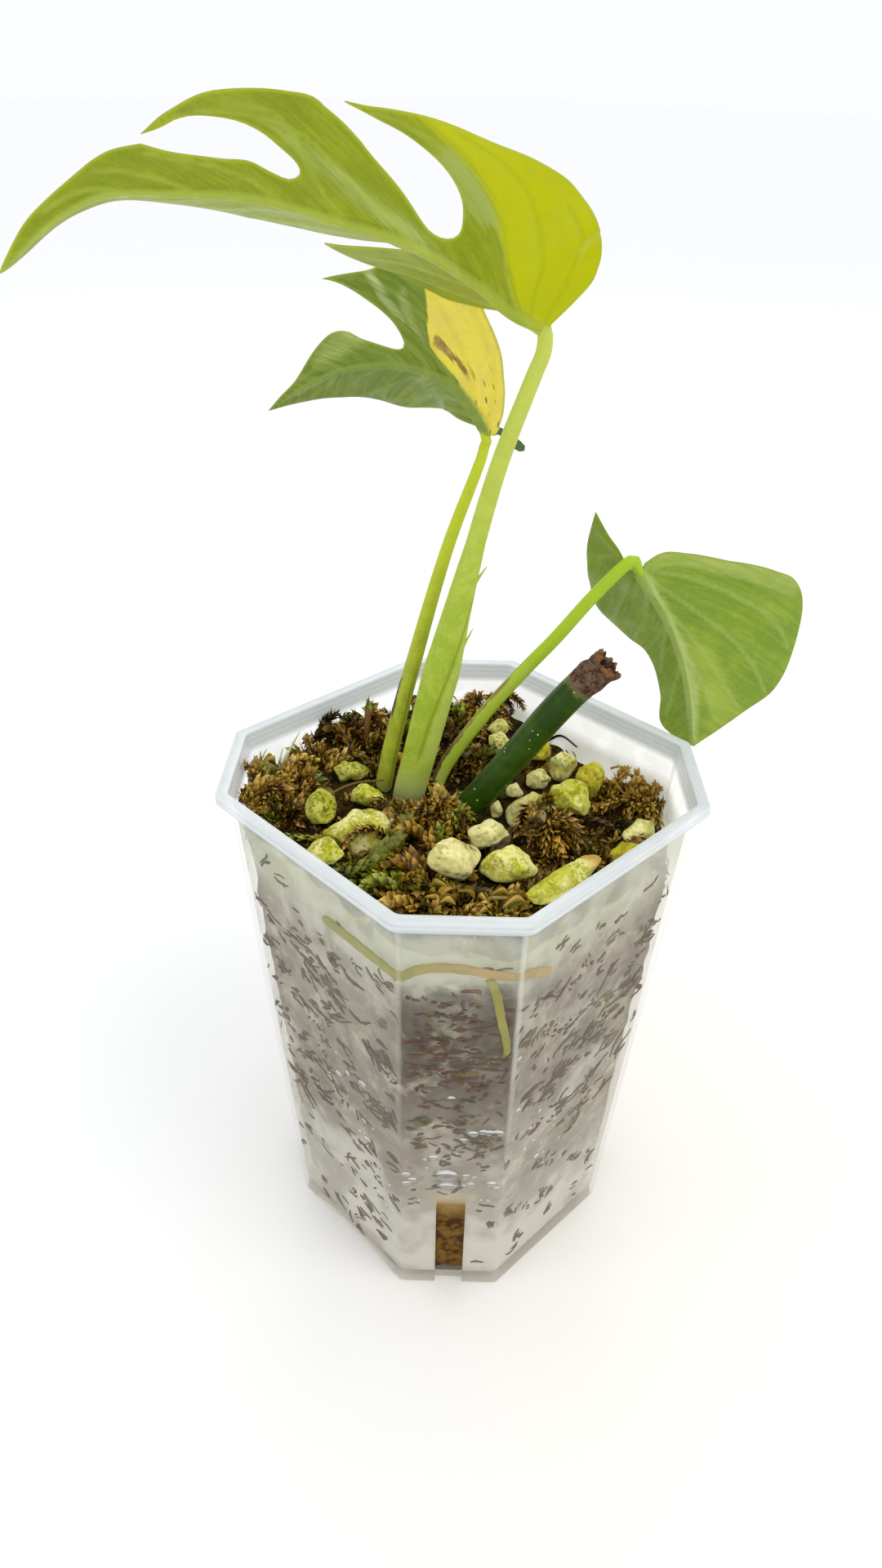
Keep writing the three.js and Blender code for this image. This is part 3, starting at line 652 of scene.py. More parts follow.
def pot_finish():
    f = Finish("frosted_plastic", Roughness=0.25, IOR=1.49, Specular_IOR_Level=0.5)
    x, y, height = parts = f.parts(f.place)
    wall = f.node("ShaderNodeGroup", {"Place": f.place}, node_tree=WALL_PLACE).outputs
    clouds = f.effect(MOTTLE, Scale=48.0, Fine=0.5, Low=0.3, High=0.72)
    clear_shaded_window = in_clear_shaded_window(f, parts, clouds)
    frontward = f.ramp(f.minus(x, y), 0.0, 0.02, 0.0, 0.003)
    above = f.ramp(f.minus(height, frontward), 0.1035, 0.1075)
    mist = f.plus(f.ramp(clouds, 0.0, 1.0, 0.26, 0.50), f.ramp(height, 0.090, 0.099, 0.0, 0.16),
                  f.ramp(height, 0.052, 0.012, 0.0, 0.2), f.times(clear_shaded_window, -0.16), f.times(above, -0.42))
    inner = f.ramp(wall["Depth"], 0.0003, 0.0006)
    alpha = f.ramp(inner, 0.0, 1.0, f.ramp(clear_shaded_window, 0.0, 1.0, 0.12, 0.05), mist)
    # painted highlight: a pale, more opaque band along the bends between faces, strongest on the right, towards the key
    # lamp
    right = f.ramp(f.plus(x, y), 0.0, 0.02, 0.5, 0.9)
    bend = f.times(f.ramp(wall["Bend"], 0.0007, 0.0002), right, f.ramp(height, 0.035, 0.085, 0.35, 0.8))
    at_rim = f.ramp(height, (WALL_TOP - 0.2) * MM, (WALL_TOP + 1.8) * MM)
    alpha = f.sums("MAXIMUM", alpha, f.times(bend, 0.6), f.times(at_rim, 0.82))
    scuffs = f.effect(SPECKS, Scale=420.0, Size=0.09, Share=0.2)
    alpha = f.plus(alpha, f.times(scuffs, f.ramp(height, 0.100, 0.092, 0.0, 0.12)))
    # painted highlight: fine lighter lines across the rim
    lines = f.node("ShaderNodeTexWave", {"Vector": f.place, "Scale": 330.0, "Distortion": 0.4},
                   bands_direction="Z").outputs["Fac"]
    tone = f.over(
        (0.60, 0.56, 0.46),
        ((0.76, 0.73, 0.63), clouds),
        # painted shade: the plastic is darker over the clearer part of the narrow facets
        ((0.44, 0.39, 0.31), f.times(clear_shaded_window, 0.7)),
        ((0.74, 0.75, 0.60), f.ramp(height, 0.090, 0.100)),
        ((0.82, 0.79, 0.70), f.ramp(height, 0.050, 0.014, 0.0, 0.8)),
        ((0.60, 0.53, 0.43), f.ramp(height, 0.007, 0.001, 0.0, 0.5)),
        ((0.86, 0.89, 0.92), above),
        # painted highlight along the bends
        ((0.86, 0.87, 0.84), bend),
        (f.over((0.70, 0.74, 0.76), ((0.84, 0.88, 0.90), f.ramp(lines, 0.3, 0.7, 0.0, 0.6))), at_rim),
    )
    return f.done(Base_Color=tone, Alpha=alpha, Normal=f.effect(RELIEF, Scale=110.0, Strength=0.12, Depth=0.0004))


pot = new_piece("pot_shell", *loft(pot_rings()), pot_finish(), "pot_plastic", ["pot"])
cut_away(pot, slot_cutters() + arch_cutters())
pot.data.set_sharp_from_angle(angle=math.radians(32))
print("pot has", len(pot.data.polygons), "faces after cutting")

# %% [markdown]
# ## The bed of moss
#
# Under the loose sprigs the pot is full of packed wet moss and pumice. One closed skin stands for it: it follows the
# wall at a hair's breadth, and its top follows the low mounds of the solid with a fine crumb on them. Through
# the plastic the imported mix looks grey and blotched, since mist covers whatever doesn't touch the wall; only inside
# the drain slots and on top is its own brown seen. So its finish is brown on top and pale grey along the sides.

# %% Moss surface
SOIL_LEVEL, SOIL_FALL = 103.5, 0.09
MOUNDS = [
    (17.7, -6.5, 2.6, 4.5), (-7.9, -5, 2.2, 5), (6, 37, 2.6, 8), (-36, -1, 1.6, 7), (2, -31, 1.4, 8), (-22, 26, 2, 6),
    (-14, -22, 1.6, 6), (34, 9, 1.6, 6),
]
SIDES = [(math.cos(k * math.pi / 4), math.sin(k * math.pi / 4)) for k in range(8)]


def soil_height(x, y):
    height = SOIL_LEVEL - SOIL_FALL * x + 0.7 * np.sin(0.31 * x + 1.1) * np.cos(0.27 * y - 0.4)
    height = height + 0.5 * np.sin(0.57 * x - 0.44 * y + 2)
    for mx, my, high, wide in MOUNDS:
        height = height + high * np.exp(-((x - mx) ** 2 + (y - my) ** 2) / wide ** 2)
    return height


def soil_under(points):
    """The height of the moss under points in the row frame."""
    plant = turned(points, -PLANT_TURN)
    return soil_height(plant[..., 0], plant[..., 1])


def kept_inside(points, depth):
    """Pushes points in the row frame back until they are that deep inside the wall's outer face."""
    points = np.array(points, float)
    for side, (nx, ny) in enumerate(SIDES):
        reach = face_distance(side, points[..., 2]) - depth
        beyond = np.maximum(points[..., 0] * nx + points[..., 1] * ny - reach, 0)
        points[..., 0] -= nx * beyond
        points[..., 1] -= ny * beyond
    return points


def bed_mesh():
    around, drawn_at = 360, 100.0
    corner_ring = wall_ring(drawn_at, WALL + GAP)[:, :2]
    closed = np.vstack([corner_ring, corner_ring[:1]])
    run = lengths(closed)
    edge = on_line(np.linspace(0, run[-1], around, endpoint=False), run, closed)
    half_there = wall_size(drawn_at)[0]
    rings = []
    for share in np.linspace(0, 1, 64):
        flat = np.column_stack([edge, np.zeros(around)])
        top = soil_under(flat) - 0.4
        flat[:, 2] = FLOOR_THICK + GAP + share * (top - FLOOR_THICK - GAP)
        scale = (wall_size(flat[:, 2])[0] - WALL - GAP) / (half_there - WALL - GAP)
        flat[:, :2] *= scale[:, None]
        depth = WALL + GAP + 1.0 + 0.5 * noise(flat, 4.0, 3) + 0.15 * noise(flat, 1.5, 4)
        low = 1 - np.clip((flat[:, 2] - FLOOR_THICK) / FLOOR_FILLET, 0, 1)
        corner = FLOOR_FILLET * (1 - np.sqrt(np.clip(1 - low ** 2, 0, 1)))
        rings.append(kept_inside(flat, depth + corner))
    rim = rings[-1]
    for share in np.linspace(1, 0.012, 56)[1:]:
        flat = rim * [share, share, 0]
        flat[:, 2] = soil_under(flat)
        flat[:, 2] += 0.8 * noise(flat, 2.6, 5) + 0.5 * noise(flat, 1.2, 6) - 0.9
        rings.append(flat)
    return loft(np.array(rings))


print(f"the moss is {soil_height(0.0, 0.0):.1f} mm high in the middle")

# %% Moss bed finish
def bed_finish():
    f = Finish("packed_mix", Roughness=0.8, Specular_IOR_Level=0.08)
    parts = f.parts(f.place)
    height = parts[2]
    facing = f.parts(f.node("ShaderNodeNewGeometry").outputs["Normal"])[2]
    clumps = f.effect(MOTTLE, Scale=170.0, Fine=0.8, Low=0.35, High=0.65)
    green = f.effect(MOTTLE, Scale=60.0, Fine=0.5, Low=0.5, High=0.7)
    blotch = f.effect(MOTTLE, Scale=58.0, Fine=0.6, Low=0.34, High=0.70)
    pale = f.effect(MOTTLE, Scale=95.0, Fine=0.5, Low=0.48, High=0.78)
    crumbs = f.effect(SPECKS, Scale=420.0, Size=0.34, Share=0.3)
    top = f.over((0.010, 0.005, 0.001), ((0.055, 0.030, 0.005), clumps), ((0.030, 0.032, 0.004), f.times(green, 0.7)))
    in_slot = f.over((0.06, 0.026, 0.006), ((0.20, 0.105, 0.02), clumps),
                     ((0.36, 0.23, 0.07), f.ramp(height, 0.022, 0.030)))
    side = f.over(
        (0.15, 0.115, 0.075),
        ((0.33, 0.28, 0.20), blotch),
        ((0.64, 0.60, 0.44), f.times(pale, 0.8)),
        ((0.075, 0.045, 0.022), f.times(crumbs, 0.7)),
        # painted shade: the moss behind the clearer part of the narrow facets is darker, less so where it is pale
        ((0.060, 0.044, 0.030), f.times(in_clear_shaded_window(f, parts, blotch), f.ramp(pale, 0.0, 1.0, 0.75, 0.3))),
        ((0.50, 0.50, 0.30), f.ramp(height, 0.095, 0.100, 0.0, 0.85)),
        (in_slot, f.times(f.ramp(off_corner(f, parts), 0.0062, 0.0048), f.ramp(height, 0.034, 0.031))),
        (top, f.ramp(facing, 0.35, 0.7)),
    )
    return f.done(Base_Color=side, Normal=f.effect(RELIEF, Scale=500.0, Strength=0.6, Depth=0.0006))


new_piece("moss_bed", *bed_mesh(), bed_finish(), "moss", ["growing_mix"])

# %% [markdown]
# ## The pumice
#
# Twenty-one loose stones lie on the moss. Pumice is frozen foam: rounded by rubbing, pitted, cream inside, stained by
# water and algae. Each stone is a fine ball whose reach in every direction is limited by a dozen seeded flats, which
# makes a broken, blunt-edged rock without any sculpting. Noise then gives it lumps and pits. Displacement in the mesh
# rather than bump keeps the pitted outline. Each stone is then set to the middle of its solid.

# %% Stones
# place, length, breadth and height, heading, kind, share of algae; in the plant frame
STONES = [
    (-22.3, 9.6, (7.4, 4.8, 4.6), 8, "green", 0.7), (-26, -7, (8, 7, 7), 60, "green", 0.95),
    (-18.3, 0, (6.8, 4.8, 4.4), -35, "lime", 0.9), (-18.4, -12.7, (12.4, 9, 8), 25, "cream", 0.75),
    (-25.1, -19.3, (8.5, 5.6, 5.4), -42, "lime", 0.8), (-1.5, -20, (10, 9, 8.4), 15, "cream", 0.2),
    (4.9, -8.9, (8.4, 6.4, 5.8), 5, "cream", 0.2), (8.5, -18.7, (10.6, 7.2, 6.8), -8, "lime", 0.75),
    (13.3, -0.2, (10.4, 7, 8), 0, "cream", 0.45), (21.5, 4.4, (8.6, 7.4, 7.4), -10, "lime", 0.9),
    (26.3, 11, (7, 5.8, 9), 80, "yellow", 0.35), (20.9, 17.1, (6, 5.2, 7), 0, "cream", 0.5),
    (19.1, -21.3, (20, 6.2, 5.6), 44, "lime", 0.7), (31.7, -10.4, (8, 5, 4.5), 30, "yellow", 0.5),
    (34.8, -2.6, (9.5, 5, 4.5), 38, "cream", 0.4), (8.3, 30.3, (5.8, 5, 4), 40, "cream", 0.4),
    (8, 25, (4.4, 4, 4), 0, "cream", 0.6), (7, 0.9, (2.6, 2.4, 4), 0, "cream", 0.3),
    (15.6, 13.4, (5.6, 4.6, 4.4), 0, "cream", 0.3), (16.6, 22.6, (6.4, 4.6, 5), 50, "yellow", 0.6),
    (10.6, 8.3, (3.6, 3, 3), 0, "cream", 0.1),
]
SLAB, PEANUT, STAINED = 13, 1, 6
# the slots of those lime stones whose node isn't made of green pumice
LIME_SLOTS = {3: "yellow", 5: "yellow", 8: "cream"}
STONE_COLOURS = {
    "cream": ((0.90, 0.83, 0.40), (0.62, 0.57, 0.07), (0.29, 0.30, 0.02)),
    "green": ((0.60, 0.57, 0.13), (0.40, 0.41, 0.03), (0.14, 0.165, 0.010)),
    "yellow": ((0.68, 0.60, 0.07), (0.50, 0.41, 0.010), (0.26, 0.25, 0.010)),
    "lime": ((0.84, 0.79, 0.30), (0.60, 0.59, 0.065), (0.37, 0.39, 0.015)),
}


def stone_finish(kind):
    pale, stained, deep = STONE_COLOURS[kind]
    f = Finish(f"pumice_{kind}", Roughness=0.85, Specular_IOR_Level=0.12)
    up, pit = f.stored("lift"), f.stored("pit")
    stain = f.effect(MOTTLE, Scale=210.0, Fine=0.7, Low=0.34, High=0.60)
    growth = f.effect(MOTTLE, Scale=340.0, Fine=0.9, Low=0.42, High=0.66)
    pores = f.effect(SPECKS, Scale=1500.0, Size=0.24, Share=0.5)
    reach = f.times(f.stored("algae"), f.ramp(up, -0.7, 0.7, 0.5, 1.6))
    tone = f.over(
        pale,
        (stained, f.times(stain, f.sums("MINIMUM", reach, 1.0))),
        (deep, f.times(growth, f.times(reach, 0.75))),
        # painted shade: darker pores and darker pits
        (shade_or_tint(stained, 0.4), f.times(pores, 0.4)),
        (shade_or_tint(stained, 0.4), f.ramp(pit, 0.1, 0.5, 0.0, 0.5)),
        ((0.25, 0.13, 0.02), f.times(f.stored("stain"), f.ramp(growth, 0.0, 1.0, 0.35, 1.0))),
        ((0.60, 0.37, 0.09), f.stored("tan")),
        # painted shade: darker on the underside of each stone, where it lies on the moss
        ((0.10, 0.07, 0.015), f.ramp(up, -0.3, -0.9, 0.0, 0.75)),
    )
    return f.done(Base_Color=tone, Normal=f.effect(RELIEF, Scale=900.0, Strength=0.5, Depth=0.0003))


def fine_ball(levels):
    bm = bmesh.new()
    bmesh.ops.create_icosphere(bm, subdivisions=levels, radius=1.0)
    points = np.array([vertex.co for vertex in bm.verts])
    faces = [[vertex.index for vertex in face.verts] for face in bm.faces]
    bm.free()
    return unit(points), faces


BALL_POINTS, BALL_FACES = fine_ball(5)


def spread_directions(count, chance):
    """Directions that are roughly even over a ball, each moved a little by chance."""
    k = np.arange(count) + 0.5
    tilt, turn = np.arccos(1 - 2 * k / count), k * math.pi * (1 + math.sqrt(5))
    even = np.column_stack([np.cos(turn) * np.sin(tilt), np.sin(turn) * np.sin(tilt), np.cos(tilt)])
    return unit(even + np.array([[chance.uniform(-0.32, 0.32) for _ in range(3)] for _ in range(count)]))


def broken_rock(seed, flats=12, blunt=12.0):
    """A ball cut back by flats: within one, it reaches about as far as the nearest flat allows."""
    chance = random.Random(900 + seed)
    normals = spread_directions(flats, chance)
    far = np.array([chance.uniform(0.72, 1.0) for _ in range(flats)])
    facing = np.clip(BALL_POINTS @ normals.T / far, 0, None)
    reach = (facing ** blunt).sum(axis=1) ** (-1 / blunt)
    rock = BALL_POINTS * reach[:, None]
    low, high = rock.min(axis=0), rock.max(axis=0)
    return 2 * (rock - (low + high) / 2) / (high - low)


def make_stone(number):
    name = f"pumice_{number:02d}"
    _, _, size, heading, kind, algae = STONES[number - 1]
    low, high = (np.array(corner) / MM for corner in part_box(name))
    rock = broken_rock(number)
    if number == PEANUT:
        rock[:, 1:] *= (1 - 0.3 * np.exp(-((rock[:, 0] / 0.3) ** 2)))[:, None]
    points = turned(rock * np.array(size) * 0.49, math.radians(heading) + PLANT_TURN)
    direction = unit(points / np.array([size[0], size[0], size[2]]))
    wide = 0.055 * max(size) * noise(points, 0.26 * max(size), number) + 0.22 * noise(points, 1.5, number + 20)
    pit = np.clip(noise(points, 0.8, number + 40) - 0.2, 0, 1)
    points = points + direction * (wide + 0.10 * noise(points, 0.6, number + 60) - 0.35 * pit)[:, None]
    points += (low + high) / 2 - (points.min(axis=0) + points.max(axis=0)) / 2
    none = np.zeros(len(points))
    tan = np.clip((rock[:, 0] - 0.45) * 4, 0, 1) * (noise(points, 3.0, 5) > -0.35) if number == SLAB else none
    stain = np.clip(1.6 - np.linalg.norm(rock - [0.55, 0.1, 0.75], axis=1) * 3, 0, 1) if number == STAINED else none
    slot = LIME_SLOTS.get(number, "green") if kind == "lime" else kind
    new_piece(f"{name}_stone", points, BALL_FACES, finishes[kind], f"pumice_{slot}", [name],
              {"lift": rock[:, 2], "algae": np.full(len(points), algae), "pit": pit, "tan": tan, "stain": stain})


finishes = {kind: stone_finish(kind) for kind in STONE_COLOURS}
for number in range(1, len(STONES) + 1):
    make_stone(number)

# %% [markdown]
# ## The cut stem and the roots
#
# The cutting's old stem lies in the moss and bends up to the right, where its end was cut and has dried: brown,
# wrinkled and hollow. It is one loft, whose last rings turn over the ragged edge and go down into the hollow. The
# roots are lofts as well. Where a root runs along the wall, its points are pushed back inside the plastic, which
# flattens it just as the wall does.

# %% Stem and root shapes
CANE_PATH = line_of("""
    -19 9 88.5, -11 7 92, -3 4.6 97, 2.9 2.3 105.4, 10.7 1.8 116.9, 16.6 1 126.2, 21.1 0.5 132.3, 25.4 0 136.8""")
CANE_RADIUS, CANE_DRY, CANE_HIGHLIGHT_TURN = 2.9, 0.9, 4.5
# how deep each ring lies in the hollow of the cut, and how wide it is
HOLLOW = [(-0.05, 0.90), (0.3, 0.82), (0.9, 0.74), (1.7, 0.66), (2.6, 0.55), (3.2, 0.4), (3.0, 0.2)]
ROOTS = [
    (1.3, line_of("""
        -13 6 91, -20 -4 92, -24 -16 96, -23.2 -27.6 98.8, -20.3 -30.9 98.8, -16.6 -34.6 98.6, -12.9 -38.3 98.4,
        -10.4 -40.4 98.4, -7.5 -41.2 100.2, -4.8 -41.4 101.0, -0.5 -41.4 101.0, 3.8 -41.3 100.2, 8.4 -41.3 99.4,
        11.2 -40.0 98.8, 14.3 -36.7 96.4, 15.4 -33.6 95""")),
    (0.85, line_of("5.0 -40.8 98.5, 6.3 -40.9 94.9, 7.5 -40.4 88.2, 8.6 -39.9 82.7, 8.9 -38.6 78, 8.6 -34 71")),
]


def stem_mesh():
    path = Curve(CANE_PATH)
    sides = 48
    turn = np.linspace(0, 2 * math.pi, sides, endpoint=False)
    shares = np.concatenate([np.linspace(0, CANE_DRY, 90), np.linspace(CANE_DRY, 1, 40)[1:]])
    distance = shares * path.length
    rings, along = [], []
    # painted highlight: a narrow pale stripe along one side of the cane, kept in the ridge value
    ridge = np.exp(-((turn - CANE_HIGHLIGHT_TURN) / 0.11) ** 2)
    point, slope, one, two = path.frames(distance)
    for k, share in enumerate(shares):
        radius = np.full(sides, CANE_RADIUS) * (1 + 0.006 * np.sin(9 * turn) + 0.01 * np.sin(2 * turn + 1))
        dry = max(0.0, (share - CANE_DRY) / (1 - CANE_DRY))
        if dry > 0:
            wrinkle = (0.05 * np.sin(13 * turn + 5 * dry) + 0.035 * np.sin(23 * turn - 7 * dry)
                       + 0.07 * np.sin(4 * turn + 9 * dry))
            radius = radius * (1 + min(1, 2 * dry) * wrinkle)
        rings.append(point[k] + one[k] * (np.cos(turn) * radius)[:, None] + two[k] * (np.sin(turn) * radius)[:, None])
        along.append(np.full(sides, share))
    ragged = 0.7 * np.sin(5 * turn + 1) + 0.5 * np.sin(11 * turn) + 0.3 * np.sin(17 * turn + 2)
    rings[-1] = rings[-1] + slope[-1] * ragged[:, None] * 0.6
    rings[-2] = rings[-2] + slope[-1] * ragged[:, None] * 0.4
    outer = rings[-1] - point[-1]
    for deep, narrow in HOLLOW:
        crumple = 1 + 0.12 * np.sin(7 * turn + 3 * deep) + 0.08 * np.sin(15 * turn - 5 * deep)
        rings.append(point[-1] + outer * (narrow * crumple)[:, None] - slope[-1] * deep)
        along.append(np.full(sides, 1 + deep / 10))
    return loft(np.array(rings)), np.concatenate(along), np.tile(ridge, len(rings))


def rod_mesh(path, thickness, sides=14, step=0.9):
    """A rod along a path, with its share along it; thickness gives radii from shares and places in millimetres."""
    line = Curve(path)
    share = np.linspace(0, 1, max(12, int(line.length / step)))
    point, _, one, two = line.frames(share * line.length)
    turn = np.linspace(0, 2 * math.pi, sides, endpoint=False)
    thick = thickness(share, share * line.length)[:, None]
    points, faces = loft(rings_around(point, one, two, np.cos(turn) * thick, np.sin(turn) * thick))
    return points, faces, np.repeat(share, sides)


def root_mesh(radius, path):
    def knobby(share, run):
        return radius * (1 - 0.25 * share) * (1 + 0.08 * np.sin(run * 1.7) + 0.05 * np.sin(run * 3.9 + 1))

    points, faces, along = rod_mesh(path, knobby)
    return (kept_inside(turned(points), WALL - 0.3), faces), along


print(f"the stem is {Curve(CANE_PATH).length:.1f} mm long, and {len(ROOTS)} roots run along the wall")

# %% Stem and root finishes
def stem_finish():
    f = Finish("cane_skin", Specular_IOR_Level=0.2)
    along = f.stored("along")
    streaks = f.effect(MOTTLE, Scale=120.0, Fine=0.5, Low=0.35, High=0.7)
    specks = f.effect(SPECKS, Scale=850.0, Size=0.17, Share=0.3)
    fibres = f.effect(MOTTLE, Scale=700.0, Fine=0.9, Low=0.35, High=0.65)
    green = f.over((0.020, 0.052, 0.002), ((0.038, 0.088, 0.003), streaks), ((0.70, 0.74, 0.42), specks),
                   # painted highlight: the pale stripe along the cane
                   ((0.34, 0.40, 0.14), f.times(f.stored("ridge"), f.ramp(streaks, 0.0, 1.0, 0.3, 0.9))))
    dried = f.over((0.050, 0.022, 0.011), ((0.17, 0.10, 0.06), fibres),
                   # painted shade: darker deeper down inside the hollow of the cut
                   ((0.05, 0.015, 0.007), f.ramp(along, 1.03, 1.2)))
    edge = f.plus(along, f.times(f.minus(fibres, 0.5), 0.012))
    brown = f.ramp(edge, CANE_DRY - 0.004, CANE_DRY + 0.006)
    pale_ring = f.times(f.ramp(edge, CANE_DRY - 0.018, CANE_DRY - 0.004),
                        f.ramp(edge, CANE_DRY + 0.007, CANE_DRY - 0.002))
    lip = f.times(f.ramp(along, 0.985, 0.996), f.ramp(along, 1.02, 1.003))
    tone = f.over(green, (dried, brown), ((0.30, 0.26, 0.09), f.times(pale_ring, 0.35)),
                  ((0.26, 0.11, 0.03), f.times(lip, f.ramp(fibres, 0.0, 1.0, 0.3, 0.9))))
    return f.done(Base_Color=tone, Roughness=f.ramp(brown, 0.0, 1.0, 0.34, 0.8),
                  Normal=f.effect(RELIEF, Scale=700.0, Strength=0.25, Depth=0.0003))


def root_finish():
    f = Finish("root_skin", Roughness=0.6)
    patches = f.effect(MOTTLE, Scale=90.0, Fine=0.6, Low=0.35, High=0.65)
    tone = f.over((0.30, 0.27, 0.04), ((0.44, 0.29, 0.11), f.ramp(f.stored("along"), 0.66, 0.80)),
                  ((0.20, 0.19, 0.03), f.times(patches, 0.5)))
    return f.done(Base_Color=tone, Normal=f.effect(RELIEF, Scale=900.0, Strength=0.3, Depth=0.0002))


(points, faces), along, ridge = stem_mesh()
new_piece("cut_stem", turned(points), faces, stem_finish(), "cane", ["cane"], {"along": along, "ridge": ridge})
root_parts = [root_mesh(*root) for root in ROOTS]
new_piece("wall_roots", *joined([part for part, _ in root_parts]), root_finish(), "cane", (),
          {"along": np.concatenate([along for _, along in root_parts])})

# %% [markdown]
# ## The leaf surface
#
# A leaf is a flat outline that is bent onto a surface. The outline is drawn in two measures: u along the midrib and v
# across it. The midrib is a smooth line in space, and each half of the blade leaves it at an angle and curls a
# little. Cutting the outline from a grid with a boolean would leave ragged edges, so the flat shape is filled with
# even triangles by a constrained Delaunay step and only then bent.

# %% Leaf surface
class LeafSurface:
    """near and far: the angle in degrees at which a half leaves the midrib, and its curl in degrees per mm."""

    def __init__(self, leaf):
        self.curve = Curve(leaf["rib"])
        self.length = self.curve.length
        self.lateral = np.array(leaf["lateral"], float)
        self.upper, self.near, self.far = leaf["upper"], leaf["near"], leaf["far"]

    def frame(self, u):
        middle, tangent = self.curve.at(u)
        across = unit(self.lateral - tangent * (tangent @ self.lateral)[:, None])
        up = np.cross(across, tangent) * self.upper
        return middle, tangent, across, up

    def point(self, u, v):
        u, v = np.asarray(u, float), np.asarray(v, float)
        middle, _, across, up = self.frame(u)
        start = np.radians(np.where(v < 0, self.far[0], self.near[0]))
        curl = np.radians(np.where(v < 0, self.far[1], self.near[1]))
        bend = curl * np.abs(v)
        bend = np.where(np.abs(bend) < 1e-7, 1e-7, bend)
        radius = np.abs(v) / bend
        out = (np.sin(start + bend) - np.sin(start)) * radius
        rise = (np.cos(start) - np.cos(start + bend)) * radius
        return middle + across * (np.sign(v) * out)[:, None] + up * rise[:, None]

    def normal(self, u, v):
        """Unit normals on the upper side of the blade."""
        step = 0.05
        along = self.point(u + step, v) - self.point(u - step, v)
        inner = np.where(v < 0, np.minimum(v, -0.06), np.maximum(v, 0.06))
        across = self.point(u, inner + step) - self.point(u, inner - step)
        return unit(np.cross(across, along)) * self.upper


def outline_points(stretches, spacing):
    """Even points along smooth stretches that meet at sharp tips."""
    points = []
    for stretch in stretches:
        p = np.array(stretch, float)
        last = len(p) - 1
        dense = []
        for i in range(last):
            p0, p1, p2, p3 = p[max(i - 1, 0)], p[i], p[i + 1], p[min(i + 2, last)]
            w = np.linspace(0, 1, 30, endpoint=False)[:, None]
            t1, t2 = (p2 - p0) / 2, (p3 - p1) / 2
            dense.append(smooth_step(w, p1, p2, t1, t2))
        dense = np.vstack(dense + [p[-1:]])
        run = lengths(dense)
        spots = np.linspace(0, run[-1], max(2, math.ceil(run[-1] / spacing)) + 1)[:-1]
        points.append(on_line(spots, run, dense))
    return np.vstack(points)


def nearest(points, line, closed=False):
    """The distance of flat points from a line of short straight steps."""
    starts = np.asarray(line, float)
    ends = np.roll(starts, -1, axis=0) if closed else starts[1:]
    starts = starts if closed else starts[:-1]
    best = np.full(len(points), np.inf)
    for a, b in zip(starts, ends):
        step = b - a
        t = np.clip(((points - a) @ step) / max(step @ step, 1e-12), 0, 1)
        best = np.minimum(best, np.linalg.norm(points - a - t[:, None] * step, axis=1))
    return best


def inside(points, line):
    """True for flat points inside a closed line."""
    x, y = points[:, 0], points[:, 1]
    within = np.zeros(len(points), bool)
    ends = np.roll(line, -1, axis=0)
    for (x0, y0), (x1, y1) in zip(line, ends):
        if y0 == y1:
            continue
        within ^= ((y0 > y) != (y1 > y)) & (x < (x1 - x0) * (y - y0) / (y1 - y0) + x0)
    return within


def depth_in(points, line):
    """How deep flat points lie inside a closed line, as a number that is negative outside it."""
    away = nearest(points, line, closed=True)
    return np.where(inside(points, line), away, -away)


print("leaf surface helpers ready")

# %% [markdown]
# ### From outline to blade
#
# The blade gets a real thickness of half a millimetre. On its underside the midrib and the side veins stand out as
# ridges, and the upper side has shallow grooves in the same places. Distances to the ribs, to the margin and to the
# borders of each coloured area are stored on the points, so that the material can lay sharp or soft borders anywhere.

# %% Leaf mesh
BLADE_THICK = 0.5
CELL = 0.95


def flat_mesh(outline, length):
    """Even flat points inside the outline, with finer rows beside the midrib, and their triangles."""
    edge = outline_points(outline, CELL)
    low, high = edge.min(axis=0), edge.max(axis=0)
    rows = []
    for k, v in enumerate(np.arange(low[1], high[1], CELL * 0.87)):
        u = np.arange(low[0] + (k % 2) * CELL / 2, high[0], CELL)
        rows.append(np.column_stack([u, np.full(len(u), v)]))
    grid = np.vstack(rows)
    grid = grid[(np.abs(grid[:, 1]) > 2.3) | (grid[:, 0] < 0)]
    ribs = np.arange(0, length + 4, 0.9)
    rib_rows = [np.column_stack([ribs, np.full(len(ribs), v)])
                for v in (-2.0, -1.5, -1.1, -0.75, -0.4, 0.0, 0.4, 0.75, 1.1, 1.5, 2.0)]
    spots = np.vstack([grid] + rib_rows)
    spots = spots[inside(spots, edge) & (nearest(spots, edge, closed=True) > 0.42)]
    flat = [Vector(point) for point in np.vstack([edge, spots])]
    result = geometry.delaunay_2d_cdt(flat, [], [list(range(len(edge)))], 1, 1e-5)
    points = np.array([[p.x, p.y] for p in result[0]])
    return points, [list(face) for face in result[2]], edge


def open_edges(faces):
    pairs = dict.fromkeys((a, b) for face in faces for a, b in zip(face, face[1:] + face[:1]))
    return [(a, b) for a, b in pairs if (b, a) not in pairs]


